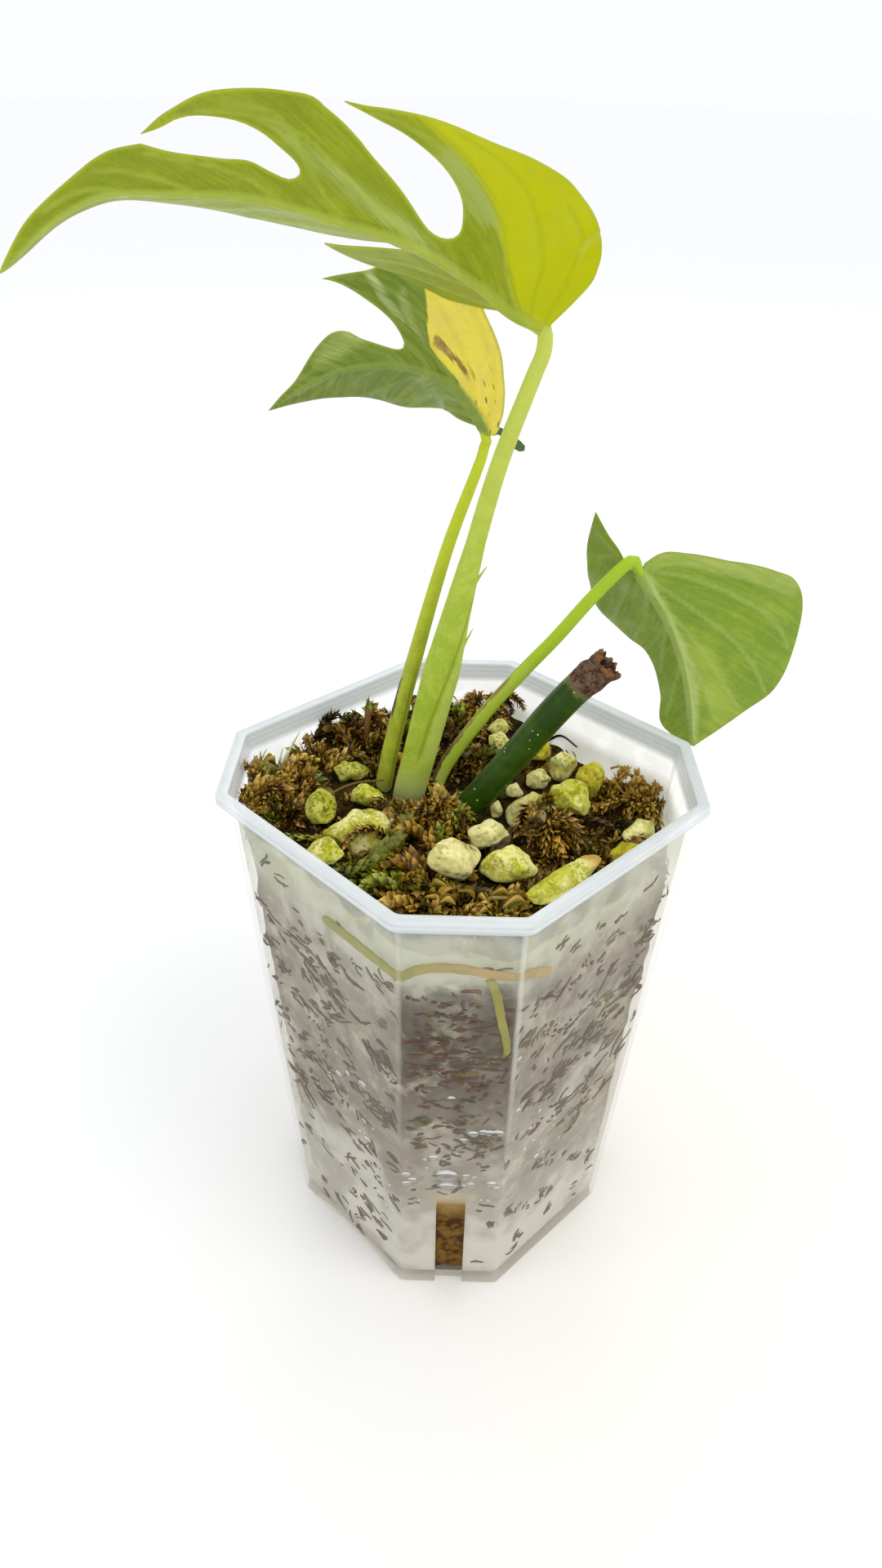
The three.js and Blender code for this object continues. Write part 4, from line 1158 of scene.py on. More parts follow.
def leaf_mesh(leaf):
    surface = LeafSurface(leaf)
    flat, faces, edge = flat_mesh(leaf["outline"], surface.length)
    u, v = flat[:, 0], flat[:, 1]
    margin = nearest(flat, edge, closed=True)
    veins = np.full(len(flat), 99.0)
    for vein in leaf["veins"]:
        line = Curve([[a, b, 0] for a, b in vein]).points[::4, :2]
        veins = np.minimum(veins, nearest(flat, line))
    rib_radius = leaf["rib_radius"] + (0.45 - leaf["rib_radius"]) * np.clip(u / (surface.length - 4), 0, 1)
    rib_radius = rib_radius * np.clip((surface.length - u) / 8, 0, 1) * np.clip((u + 1.2) / 1.2, 0, 1)
    ridge = np.sqrt(np.clip(rib_radius ** 2 - v ** 2, 0, None)) * 0.95
    inner = np.clip(margin / 2.0, 0, 1)
    vein_ridge = leaf["vein_height"] * np.exp(-(veins / 0.55) ** 2) * inner
    quilt = 0.28 * (1 - np.exp(-(np.minimum(veins, np.abs(v)) / 3.2) ** 2)) * np.clip(margin / 4, 0, 1)
    spots = np.column_stack([u, v, np.zeros(len(u))])
    wave = leaf["wave"] * noise(spots, 9.0, leaf["seed"]) * np.exp(-margin / 6)
    lift = quilt + wave + 0.10 * noise(spots, 5.0, leaf["seed"] + 1)
    normal = surface.normal(u, v)
    middle = surface.point(u, v) + normal * lift[:, None]
    thin = BLADE_THICK * np.clip(0.45 + margin / 1.2, 0.45, 1)
    groove = 0.14 * np.exp(-(v / 0.9) ** 2) * inner + 0.06 * np.exp(-(veins / 0.5) ** 2) * inner
    upper = middle + normal * (thin / 2 - groove)[:, None]
    lower = middle - normal * (thin / 2 + ridge + vein_ridge)[:, None]
    count = len(flat)
    if leaf["upper"] > 0:
        faces = [face[::-1] for face in faces]
    skin = faces + [[corner + count for corner in face[::-1]] for face in faces]
    skin += [[b, a, a + count, b + count] for a, b in open_edges(faces)]
    values = {"leaf_u": u, "leaf_v": v, "margin": margin, "vein": veins, "rib": np.abs(v) - rib_radius}
    for name, line in leaf["areas"].items():
        values[name] = depth_in(flat, line)
    values = {name: np.concatenate([numbers, numbers]) for name, numbers in values.items()}
    values["under"] = np.concatenate([np.zeros(count), np.ones(count)])
    return turned(np.vstack([upper, lower])), skin, values


print("leaf mesh helpers ready")

# %% [markdown]
# ### The three leaves
#
# Each line of a leaf is a text of places: u and v in millimetres, or x, y and z for the midrib in the plant frame.
# The top leaf has two deep slits on its near half and is chartreuse at its base. The middle leaf has one slit and a
# butter-yellow sector along its near base, where the plant makes no green pigment. The low leaf is whole and
# heart-shaped. The near half is the one towards the pot's front corner.

# %% Leaf outlines
LEAF_TOP = {
    "name": "leaf_top", "seed": 3, "rib_radius": 1.2, "vein_height": 0.16, "wave": 0.35,
    "lateral": [0, -1, 0], "upper": -1, "near": (58, -0.5), "far": (-24, 0),
    "rib": line_of("""
        9.7 4 192.5, 5.5 3 194.6, 0.4 2 198.3, -9.3 0 203.9, -19.8 -1 207, -27.9 -2 209.1, -33.8 -3 210.2,
        -43 -3 210.4, -52.2 -3 210.1, -57 -3 208.4, -61.1 -4 206, -68 -6 200.3"""),
    "outline": lines_of("""
        -1.2 0.2, -1.2 1.4, -1.4 4.4, -1.5 8.2, -1.3 11.8, -0.3 14.7, 1.1 17.7, 2.8 19.6, 6.7 21.4, 8.5 22.3,
        10.3 22.9, 13.6 23.5, 17.7 22.7, 22.1 20.9, 27 20, 34 18.8, 37 18.4;
        37 18.4, 32.4 17.4, 28 16.3, 24 14, 21 10.9, 19.5 8.2, 18.6 5.6, 19 3.9, 20.6 3.1, 23 3.9, 28.3 8.8, 35.4 14.3,
        39.2 16.6;
        39.2 16.6, 41 17.6, 45 17.2, 48.4 16, 51 14.9, 54.5 12.6, 57.2 10.9, 60 8.6;
        60 8.6, 56.6 9.9, 54.5 11, 51.9 11.7, 48.6 11.5, 46.4 10.4, 44.2 8.7, 41.5 7, 40.6 5.2, 41.9 3.8, 44.8 4.3,
        47.2 5.2, 50.4 5, 56 5.9, 60.4 7.1;
        60.4 7.1, 64.5 6.1, 68.8 4.1, 73.8 3, 79.5 2.2, 84.8 0.7, 86.5 0;
        86.5 0, 84.6 -0.7, 79 -1.5, 73 -2, 66.8 -2.8, 60.3 -4.2, 54.5 -6.6, 50 -8.6, 46 -9.7, 41 -9.4, 37 -8.4,
        32 -6.6, 27 -4.6, 23.5 -2.9, 21.8 -2.8, 21.6 -4.2, 25 -7, 30 -9.5, 35 -13;
        35 -13, 30 -16.5, 24.3 -18.6, 17 -18.6, 10.8 -16, 7.5 -9.5, 5.5 -4, 3.5 -1.2, 1.5 -0.9, -0.4 -0.6, -1.2 0.2"""),
    "veins": lines_of("""
        0.5 0.4, 5.9 1.7, 9.5 4.8, 13.2 8.7, 17.4 12.6, 22 15.6, 27 17.6, 33 18.2;
        0 0.4, 0.6 4.5, 2.2 11.7, 6.2 17.7, 11 20.8;
        2 0.3, 4.4 5, 8 10.5, 12.5 15.5, 18 19.2, 24 20;
        22 0.2, 24.7 1.2, 30.4 4.6, 36.3 8.4, 41 11.5, 48.6 12.9, 55 11.2;
        33 0.2, 37 3.5, 41 9, 45 13.6, 49 14.6;
        42 0.2, 47 2.6, 53 4.6, 60 6;
        54 0.1, 60 2.4, 67 3.8;
        64 0, 70 1.6, 76 1.9;
        3 -0.4, 6 -3, 10 -8, 15 -13, 21 -16.4, 28 -16.6;
        8 -0.3, 12 -3.4, 17 -7.8, 23 -11.6, 30 -13;
        24 -0.2, 30 -2.6, 37 -5.4, 44 -7.6;
        36 -0.2, 42 -2.6, 49 -5.2, 55 -5.4;
        48 -0.1, 54 -2, 61 -3.2"""),
    "areas": {
        "basal": line_of("-4 -1, 3 0.6, 6.5 2.4, 9.5 4.8, 13.2 8.7, 17.4 12.6, 21 15.5, 24 17.6, 30 21, 10 26, -6 20"),
        "olive": line_of("3 -1.5, 9 -3.6, 13 -4.8, 14.5 -5.3, 14.8 -10.6, 13.6 -17.6, 8 -20, 1 -8"),
        "pale_low": line_of("""
            14 -0.2, 20.5 1.9, 27 4, 34 7.4, 39 9.6, 46 12.6, 43 9.6, 38 6.8, 33 3.6, 28 1.6, 22 0.2"""),
        "patch": line_of("19.6 9, 21.4 11.6, 24.6 14.6, 24 17.4, 19 13.8, 15.6 10.4, 16.4 8.6"),
        "far_strip": line_of("22 0.4, 90 0.4, 90 -14, 40 -14, 20 -4"),
    },
}
LEAF_MIDDLE = {
    "name": "leaf_middle", "seed": 8, "rib_radius": 1.1, "vein_height": 0.14, "wave": 0.45,
    "lateral": [0, -1, 0], "upper": -1, "near": (88, -0.3), "far": (-50, 0),
    "rib": line_of("""
        2.43 17 171.94, 1.28 18 174.51, -1.9 20 178.1, -5.5 22 180, -9.5 25 180.8, -14.5 28 180.8, -22.2 32 179.3,
        -30.3 36 175.3, -38.9 40 169.3"""),
    "outline": lines_of("""
        0.6 2.6, 1.4 3.3, 2.6 4.5, 4.1 6, 6 7.6, 9 11, 11.2 13.8, 12.8 17, 15.4 19.4, 18.8 19.2, 22 17.2, 25.2 15.9,
        28 15.7, 31.7 15.8;
        31.7 15.8, 29.8 14.4, 26.7 11.3, 23.1 7.9, 21.2 4.7, 21.2 3.2, 22.6 2.7, 25 3.2, 28.9 4.6, 31.3 6.3, 34 6.5,
        38.3 4.8, 44.6 1.9, 50 0.9, 54.1 0;
        54.1 0, 51.1 -1.5, 45.1 -4.5, 39.6 -8, 32.5 -11.6, 26 -12.2, 19 -10.4, 12 -7.3, 8 -5.6, 5.4 -4.2, 2.8 -2.1,
        1.3 -0.6, 0 0.3, -0.6 1.1, -0.6 1.9, -1.2 2.4, -2.2 2.8, -4.4 4.1, -4.9 5.2, -4.3 5.7, -2.9 5.1, -0.7 3.6,
        0.6 2.6"""),
    "veins": lines_of("""
        1.2 0.4, 4 3.4, 8 7.8, 11.6 12.4, 15 17;
        5 0.3, 9 3.6, 13.4 8.6, 18.4 14.8;
        10 0.2, 14.4 3.4, 18.4 8, 23 13, 28.6 15.2;
        22 0.2, 27 2.6, 33 4.8, 38 4;
        34 0.2, 39 1.8, 44 1.5;
        6 -0.3, 11 -2.6, 17 -6, 23 -9.2, 30 -10.4;
        15 -0.2, 21 -3, 28 -6.2, 35 -8.6;
        26 -0.2, 32 -2.8, 39 -5.6;
        36 -0.2, 42 -2.4, 47 -2.8"""),
    "areas": {
        "sector": line_of("""
            -2 0.5, 8.7 0.7, 11.4 1.9, 14.2 3, 15.9 4.3, 16.6 6.3, 17.1 9.4, 17.5 12.4, 18 22, 4 22, -6 6"""),
        "blotch": line_of("""
            15.8 4.8, 13.4 3.9, 11.6 3.3, 9.6 2.7, 8.2 2.4, 8.4 3.4, 10.2 4.2, 11.8 5.0, 13.2 5.4, 14.4 6.4,
            15.6 6.4"""),
        "cream": line_of("26.2 16, 24.2 11.2, 21.9 8, 20.9 7.6, 23 11.4, 24.6 16"),
        "cream_two": line_of("21.6 13, 20.9 9, 18.7 5.4, 15.3 3.0, 17.8 5.8, 19.7 9.2, 20.6 13.2"),
        "shoulder": line_of("39.4 2.6, 34.4 6.4, 31.4 6.3, 28 4.6, 30 3.2, 36 2.2"),
        "ear": line_of("-0.8 1.3, 0.6 2.9, 0.2 4.6, -6.5 7.5, -6.5 1"),
    },
}
LEAF_LOW = {
    "name": "leaf_low", "seed": 14, "rib_radius": 1.1, "vein_height": 0.17, "wave": 0.5,
    "lateral": [1, 0, 0], "upper": 1, "near": (16, 0.2), "far": (42, 0.3),
    "rib": line_of("""
        31.9 22 147, 34.3 22.5 143.2, 38 23.5 137.7, 41.5 24.5 131.5, 44.8 26 124, 47.4 27.5 116, 50.5 30 103.6"""),
    "outline": lines_of("""
        1.6 0.9, 1.1 2, 2.1 6.7, 9.9 14.1, 18 23.4, 21.8 26.8, 27.4 27.2, 35.5 23.9, 42.8 18.9, 46 11.5, 48.6 5.4,
        50.5 0;
        50.5 0, 49.2 -5.5, 46.3 -8.4, 38.6 -7.7, 31.3 -7.8, 25.9 -9.5, 23.6 -13.3, 18.4 -17.4, 10.5 -18.4, 0.4 -13,
        -6 -8.7, -12.5 -2.8;
        -12.5 -2.8, -7 -2.9, -3.6 -2.3, -0.6 -2.3, 1.4 -2, 1.6 0.9"""),
    "veins": lines_of("""
        1.2 0.6, 3.5 0.9, 6.8 1.6, 15.9 5.4, 25.5 10.5, 33.3 14.2, 42 17;
        1.2 1, 5.5 7, 13.4 14.3, 20.9 22.4, 24 25.4;
        2 0.8, 9 7, 18 14, 28 21, 34 23;
        12.1 0.5, 22.8 3.4, 35.3 7.4, 43.6 10.6;
        24 0.3, 33 3, 44 5;
        1.4 -0.8, 5 -4.4, 10 -9, 15 -13.6, 19 -15.4;
        7 -0.5, 13 -4, 20 -9.4, 23 -11.4;
        16 -0.4, 23 -3.6, 31 -6.2;
        27 -0.3, 35 -3.6, 44 -6.2;
        0.6 -1.6, -2 -4.6, -2 -8;
        0 -2, -5 -4, -8 -5"""),
    "areas": {
        # painted highlight: a lighter band between the first side vein and the curled top edge near the base
        "top_band": line_of("0 0.8, 3.4 6.4, 13.4 14.6, 20.9 22.6, 24 26, 20 32, -4 12"),
        "rib_band": line_of("2 -0.3, 12 -0.4, 24 -0.5, 36 -0.6, 50 -0.3, 50 0.5, 34 2.4, 24 1.7, 12.4 1.1, 4 1.4"),
        "bright": line_of("20 2, 28 2.6, 40 3.4, 47 4, 46 11, 38 9, 26 6"),
        "ear": line_of("-13 -2, -4 -1.8, 0.8 -1.2, -1.6 -5, -4 -12, -14 -8"),
        "ear_streak": line_of("-9.6 -1.8, -9.2 -2.6, -5.6 -2.3, -2 -1.5, 0.4 -1.2, 0.6 -0.6, -5 -1"),
    },
}
print("leaf outlines ready")

# %% [markdown]
# ### Leaf finishes
#
# Green tissue, pale tissue and yellow tissue lie beside each other with borders that follow the veins. Each coloured
# area is laid over the last through its own mask, whose border wobbles a little with noise. Streaks run outward
# along the side veins: noise is read in a place that is stretched in that direction. The underside is duller and
# paler than the upper side, and every vein is a thin pale line.

# %% Leaf finish
def streak_place(f, slope):
    """A place for noise that is drawn out along the side veins."""
    u, v = f.stored("leaf_u"), f.stored("leaf_v")
    beside = f.size(v)
    return f.node("ShaderNodeCombineXYZ", {
        0: f.minus(u, f.times(beside, slope)), 1: f.times(beside, 0.16), 2: f.times(v, 0.1)}).outputs[0]


def leaf_finish(name, slope, green, light_green, upper_green, layers, vein_colour, edge_colour, streak=(0.35, 0.65),
                bare=None, marked=0.0, last=None):
    """layers: (area, colour, border softness in mm, wobble in mm, strength, share that is streaked).
    bare: an area and the colour of its veins; marked: how strong its brown marks are near the base;
    last: an area and its colour, which also covers veins and margin."""
    f = Finish(name, Specular_IOR_Level=0.2)
    drawn = streak_place(f, slope)
    streaks = f.effect(MOTTLE, Place=drawn, Scale=0.55, Fine=0.7, Low=streak[0], High=streak[1])
    patches = f.effect(MOTTLE, Scale=110.0, Fine=0.5, Low=0.3, High=0.7)
    tone = f.over(green, (light_green, streaks), (upper_green, f.times(patches, 0.4)))
    wobble = f.minus(f.noise(drawn, 0.9, 4.0), 0.5)
    for area, above, soft, sway, strength, streaked in layers:
        mask = f.ramp(f.plus(f.stored(area), f.times(wobble, sway)), -soft, soft, 0.0, strength)
        if streaked:
            mask = f.times(mask, f.ramp(streaks, 0.0, 1.0, 1 - streaked, 1.0))
        tone = f.over(tone, (above, mask))
    cells = f.node("ShaderNodeTexVoronoi", {"Vector": f.place, "Scale": 900.0}, feature="DISTANCE_TO_EDGE").outputs[0]
    tone = f.over(tone, (vein_colour, f.ramp(cells, 0.10, 0.0, 0.0, 0.1)))
    vein_tone = vein_colour
    if bare:
        there = f.ramp(f.stored(bare[0]), -0.3, 0.3)
        vein_tone = f.over(vein_colour, (bare[1], there))
        marks = f.effect(SPECKS, Place=f.stretched(drawn, (0.55, 3.4, 1.0)), Scale=1.5, Size=0.3, Share=0.5)
        near = f.times(f.ramp(f.stored("leaf_u"), 9.0, 5.0), marked)
        tone = f.over(tone, ((0.84, 0.62, 0.17), f.times(patches, there, 0.6 * marked)),
                      ((0.20, 0.08, 0.015), f.times(marks, near, there)))
    tone = f.over(tone, (vein_tone, f.ramp(f.stored("vein"), 0.75, 0.1, 0.0, 0.5)),
                  (vein_colour, f.ramp(f.stored("rib"), 0.15, -0.3, 0.0, 0.6)),
                  (edge_colour, f.ramp(f.stored("margin"), 0.5, 0.05, 0.0, 0.6)))
    if last:
        tone = f.over(tone, (last[1], f.ramp(f.stored(last[0]), -0.15, 0.2)))
    tone = f.over(f.over(tone, (upper_green, 0.45)), (tone, f.stored("under")),
                  (light_green, f.ramp(patches, 0.0, 1.0, 0.0, 0.14)))
    height = f.plus(f.ramp(f.stored("vein"), 0.8, 0.0, 0.0, 0.7), f.times(cells, 0.5))
    bump = f.node("ShaderNodeBump", {"Strength": 0.35, "Distance": 0.0002, "Height": height}).outputs[0]
    return f.done(Base_Color=tone, Roughness=f.ramp(patches, 0.0, 1.0, 0.34, 0.46), Normal=bump)


def make_leaf(leaf, finish):
    points, faces, values = leaf_mesh(leaf)
    return new_piece(leaf["name"] + "_blade", points, faces, finish, "leaf_blade", [leaf["name"]], values, sharp=50)


top_finish = leaf_finish(
    "top_leaf_skin", 1.5, (0.25, 0.32, 0.004), (0.33, 0.39, 0.012), (0.14, 0.21, 0.01),
    [("basal", (0.53, 0.55, 0.0), 1.0, 3.0, 1.0, 0.0), ("far_strip", (0.34, 0.42, 0.09), 0.6, 1.0, 0.8, 0.3),
     ("pale_low", (0.44, 0.53, 0.16), 1.0, 2.2, 0.8, 0.6), ("patch", (0.36, 0.45, 0.10), 0.8, 3.0, 0.9, 0.3),
     ("olive", (0.27, 0.32, 0.008), 0.5, 2.0, 1.0, 0.0)],
    (0.42, 0.50, 0.06), (0.44, 0.50, 0.02), (0.28, 0.72), bare=("basal", (0.42, 0.45, 0.0)))
middle_finish = leaf_finish(
    "middle_leaf_skin", 1.3, (0.15, 0.215, 0.010), (0.225, 0.295, 0.03), (0.07, 0.16, 0.02),
    [("cream", (0.55, 0.62, 0.28), 0.5, 2.0, 0.9, 0.4), ("cream_two", (0.46, 0.52, 0.20), 0.5, 2.0, 0.8, 0.5),
     ("shoulder", (0.42, 0.50, 0.15), 1.2, 3.0, 0.8, 0.4), ("sector", (0.80, 0.68, 0.075), 0.18, 1.0, 1.0, 0.0),
     ("blotch", (0.17, 0.065, 0.02), 0.3, 3.4, 0.9, 0.0)],
    (0.24, 0.31, 0.06), (0.34, 0.40, 0.06), (0.42, 0.62), bare=("sector", (0.70, 0.57, 0.05)), marked=0.9,
    # painted shade: the ear beside the stalk is a dark bluish green
    last=("ear", (0.060, 0.115, 0.060)))
low_finish = leaf_finish(
    "low_leaf_skin", 1.2, (0.20, 0.31, 0.014), (0.27, 0.38, 0.03), (0.08, 0.18, 0.02),
    # painted highlight along the curled top edge
    [("top_band", (0.40, 0.47, 0.12), 1.2, 3.0, 0.75, 0.3), ("bright", (0.36, 0.46, 0.05), 2.0, 3.0, 0.8, 0.3),
     ("rib_band", (0.42, 0.50, 0.16), 0.9, 1.2, 0.9, 0.2), ("ear", (0.24, 0.32, 0.05), 1.0, 2.0, 0.8, 0.0),
     ("ear_streak", (0.60, 0.62, 0.30), 0.4, 0.8, 0.9, 0.0)],
    (0.36, 0.46, 0.12), (0.26, 0.36, 0.03))
for leaf, finish in ((LEAF_TOP, top_finish), (LEAF_MIDDLE, middle_finish), (LEAF_LOW, low_finish)):
    make_leaf(leaf, finish)

# %% [markdown]
# ## The petioles
#
# A petiole is a leaf's stalk. The top one is broad and flat at its foot, where it once wrapped the next leaf, and
# narrows to a round stalk. Its sheath closes along a groove that wanders to its right edge, and ends in two thin tips.
# All three are lofts; the top one's rings change from a flat oval to a circle. Each goes on a little under its blade
# and tapers off along the midrib, so that stalk and midrib flow into each other.

# %% Petioles
PETIOLES = {
    "petiole_top": {
        "leaf": LEAF_TOP, "groove": line_of("0.20 1.5, 0.28 1.6, 0.33 1.77, 0.4 2.04, 0.5 2.6, 0.58 3.1"),
        "path": line_of("""
            -11.3 6.6 92.5, -10.5 4.6 104, -8.2 4.6 114.6, -4.7 4.5 130.8, -0.1 4.3 152.4, 4.3 4 170.6, 9.2 3.8 185.2,
            10.5 3.9 189"""),
        "width": line_of("0 2.2, 0.1 3.1, 0.38 3.45, 0.5 2.5, 0.62 1.7, 0.8 1.42, 1 1.15"),
        "depth": line_of("0 0.8, 0.1 0.62, 0.38 0.55, 0.62 0.85, 0.8 1, 1 1"),
    },
    "petiole_middle": {
        "leaf": LEAF_MIDDLE, "groove": [(0.0, 0.9), (0.5, 0.6)],
        "path": line_of("""
            -17.2 8.8 90, -15.3 8.1 106.4, -12.7 9 119.2, -10 10 130.3, -3.7 13 153.4, 0.8 15.5 165.7, 1.8 16.3 168.5,
            2.2 17 170.1"""),
        "width": line_of("0 1.7, 0.35 1.65, 0.7 1.2, 0.88 1.0, 1 0.85"), "depth": [(0, 1), (1, 1)],
    },
    "petiole_low": {
        "leaf": LEAF_LOW, "groove": [(0.0, 0.5), (0.6, 0.3)],
        "path": line_of("""
            -6.2 6 94.6, -4.5 10.8 104.4, 4.1 13.2 118.2, 11.3 15.2 126.8, 17.6 17.2 133.5, 24.3 19.6 141.2,
            30.3 21.3 147.2"""),
        "width": [(0, 1.5), (1, 1.2)], "depth": [(0, 1), (1, 1)],
    },
}
RIB_SINK = 0.2
# how far along the midrib a stalk goes on, and how deep under it
TAIL = [(1.2, 0.35), (2.4, 0.5), (3.6, 0.7)]
SHEATH_TIPS = lines_of("""
    -1.0 4.3 144.5, 0.2 4.3 147.2, 1.3 4.2 150, 3.1 3.9 153.2;
    -3.4 4.4 127.5, -1.9 4.4 132.4, -0.7 4.2 137, 1.1 4.0 141.3""")


def petiole_mesh(stalk):
    surface = LeafSurface(stalk["leaf"])
    middle, tangent, _, up = surface.frame(np.array([0.0] + [far for far, _ in TAIL]))
    under = middle - up * np.array([RIB_SINK] + [deep for _, deep in TAIL])[:, None]
    before = under[0] - tangent[0] * 0.8
    line = Curve(stalk["path"] + [before.tolist()] + under.tolist())
    share = np.linspace(0, 1, 120)
    point, _, one, two = line.frames(share * line.length)
    turn = np.linspace(0, 2 * math.pi, 48, endpoint=False)
    taper = between((1 - share) * line.length, [(0, 0.35), (TAIL[-1][0], 1.0)])
    wide = (between(share, stalk["width"]) * taper)[:, None]
    deep = wide * between(share, stalk["depth"])[:, None]
    start, end = stalk["groove"][0][0], stalk["groove"][-1][0]
    fade = np.clip((end - share) / 0.06, 0, 1) * np.clip((share - start + 0.04) / 0.06, 0, 1)
    off = np.angle(np.exp(1j * (turn[None] - between(share, stalk["groove"])[:, None])))
    groove = np.exp(-(off / 0.13) ** 2) * fade[:, None]
    sheath = np.clip(off / 0.4, 0, 1) * (off < 1.9) * fade[:, None]
    shape = 1 - 0.09 * groove - 0.02 * sheath
    points, faces = loft(rings_around(point, one, two, np.cos(turn) * wide * shape, np.sin(turn) * deep * shape))
    values = {"along": np.repeat(share, len(turn)), "groove": groove.ravel(), "sheath": sheath.ravel(),
              "turn": np.tile(turn, len(share))}
    return turned(points), faces, values


def sheath_tips():
    def pointed(share, _):
        return 0.42 * (1 - share) ** 0.6 + 0.05

    parts = [rod_mesh(path, pointed, sides=10, step=0.5) for path in SHEATH_TIPS]
    points, faces = joined([(points, faces) for points, faces, _ in parts])
    along = np.concatenate([share for _, _, share in parts])
    count = len(along)
    values = {"along": np.full(count, 0.5), "groove": np.zeros(count), "sheath": np.ones(count),
              "turn": np.full(count, 3.0)}
    return turned(points), faces, values


def petiole_finish(name, foot, lower, upper, pale, whitish, freckled, scars=()):
    f = Finish(name, Roughness=0.42, Specular_IOR_Level=0.22)
    along = f.stored("along")
    streaks = f.effect(MOTTLE, Scale=260.0, Fine=0.6, Low=0.35, High=0.7)
    freckles = f.effect(SPECKS, Place=f.stretched(f.place, (1.0, 1.0, 0.4)), Scale=1100.0, Size=0.26, Share=0.10)
    tone = f.over(
        foot,
        (lower, f.ramp(along, 0.08, 0.3)),
        (upper, f.ramp(along, 0.35, 0.9)),
        (pale, f.ramp(f.stored("sheath"), 0.2, 1.0, 0.0, 0.55)),
        ((0.66, 0.68, 0.42), f.ramp(along, 0.20, 0.11, 0.0, whitish)),
        (shade_or_tint(upper, 1.18), f.times(streaks, 0.35)),
        # painted shade: darker in the groove
        (shade_or_tint(lower, 0.62), f.ramp(f.stored("groove"), 0.2, 1.0, 0.0, 0.7)),
        ((0.20, 0.15, 0.02), f.times(freckles, f.ramp(along, 0.3, 0.6, freckled, 0.15 * freckled))),
    )
    for low, high, around, wide, shade in scars:
        off = f.plus(f.size(f.minus(f.stored("turn"), around)), f.times(f.minus(streaks, 0.5), 0.25))
        scar = f.times(f.ramp(along, low - 0.01, low + 0.01), f.ramp(along, high + 0.01, high - 0.01),
                       f.ramp(off, wide, wide * 0.5))
        tone = f.over(tone, (shade, scar))
    return f.done(Base_Color=tone, Normal=f.effect(RELIEF, Scale=500.0, Strength=0.15, Depth=0.0003))


petiole_finishes = {
    "petiole_top": petiole_finish(
        "top_stalk_skin", (0.38, 0.49, 0.05), (0.33, 0.46, 0.030), (0.50, 0.57, 0.085), (0.52, 0.61, 0.15), 0.4, 0.15),
    "petiole_middle": petiole_finish(
        "middle_stalk_skin", (0.34, 0.36, 0.06), (0.34, 0.39, 0.03), (0.50, 0.58, 0.025), (0.38, 0.42, 0.05), 0.3, 0.8,
        [(0.34, 0.43, 4.9, 0.6, (0.06, 0.028, 0.008))]),
    "petiole_low": petiole_finish(
        "low_stalk_skin", (0.36, 0.44, 0.05), (0.36, 0.50, 0.02), (0.36, 0.52, 0.02), (0.44, 0.54, 0.08), 0.2, 0.2,
        [(0.14, 0.30, 0.5, 0.55, (0.13, 0.07, 0.02)), (0.26, 0.50, 0.5, 0.34, (0.30, 0.20, 0.05))]),
}
for name, stalk in PETIOLES.items():
    points, faces, values = petiole_mesh(stalk)
    new_piece(name + "_stalk", points, faces, petiole_finishes[name], "petiole", [name], values)
points, faces, values = sheath_tips()
new_piece("petiole_top_sheath_tips", points, faces, petiole_finishes["petiole_top"], "petiole", (), values)

# %% [markdown]
# ## The moss sprigs
#
# What is seen of the moss are its shoots: threads and braids of many small pointed leaflets around a thin stem, curled
# over each other. Particles or hair could scatter them, but not with leaflets that overlap like this. So one function
# grows a shoot as a mesh. Its axis is a line that bends as it goes, and its leaflets stand around it at the golden
# angle, each a small folded blade that curls in or out. Three forms of it differ in how slim and how far spread the
# leaflets are.

# %% Growing one shoot
GOLDEN_ANGLE = 2.39996
# ranges of the shoot's width, the leaflet's length, its lean and its curl; its slimness; leaflets a millimetre; core
FORMS = {
    "fluffy": {"width": (1.1, 1.8), "leaflet": (1.4, 2.4), "lean": (0.4, 1.1), "curl": (-1.3, 1.0),
               "slim": 0.21, "density": 6.5, "core": 0.2},
    "braid": {"width": (2.2, 3.1), "leaflet": (2.2, 3.0), "lean": (0.35, 0.8), "curl": (-1.0, 0.5),
              "slim": 0.26, "density": 7.0, "core": 0.27},
    "spiky": {"width": (1.0, 1.5), "leaflet": (1.8, 2.7), "lean": (0.45, 0.95), "curl": (-0.6, 0.7),
              "slim": 0.17, "density": 6.5, "core": 0.22},
}
CORE_LEVELS, CORE_SIDES = 10, 7


def shoot_axis(base, heading, rise, length, droop, swing):
    """Points along a shoot that rises, leans over and curls down."""
    steps = 12
    point, points = np.array(base, float), [np.array(base, float)]
    for k in range(steps):
        t = (k + 0.5) / steps
        lift = rise - droop * t
        way = heading + swing * t
        step = np.array([math.cos(way) * math.cos(lift), math.sin(way) * math.cos(lift), math.sin(lift)])
        point = point + step * length / steps
        points.append(point.copy())
    return points


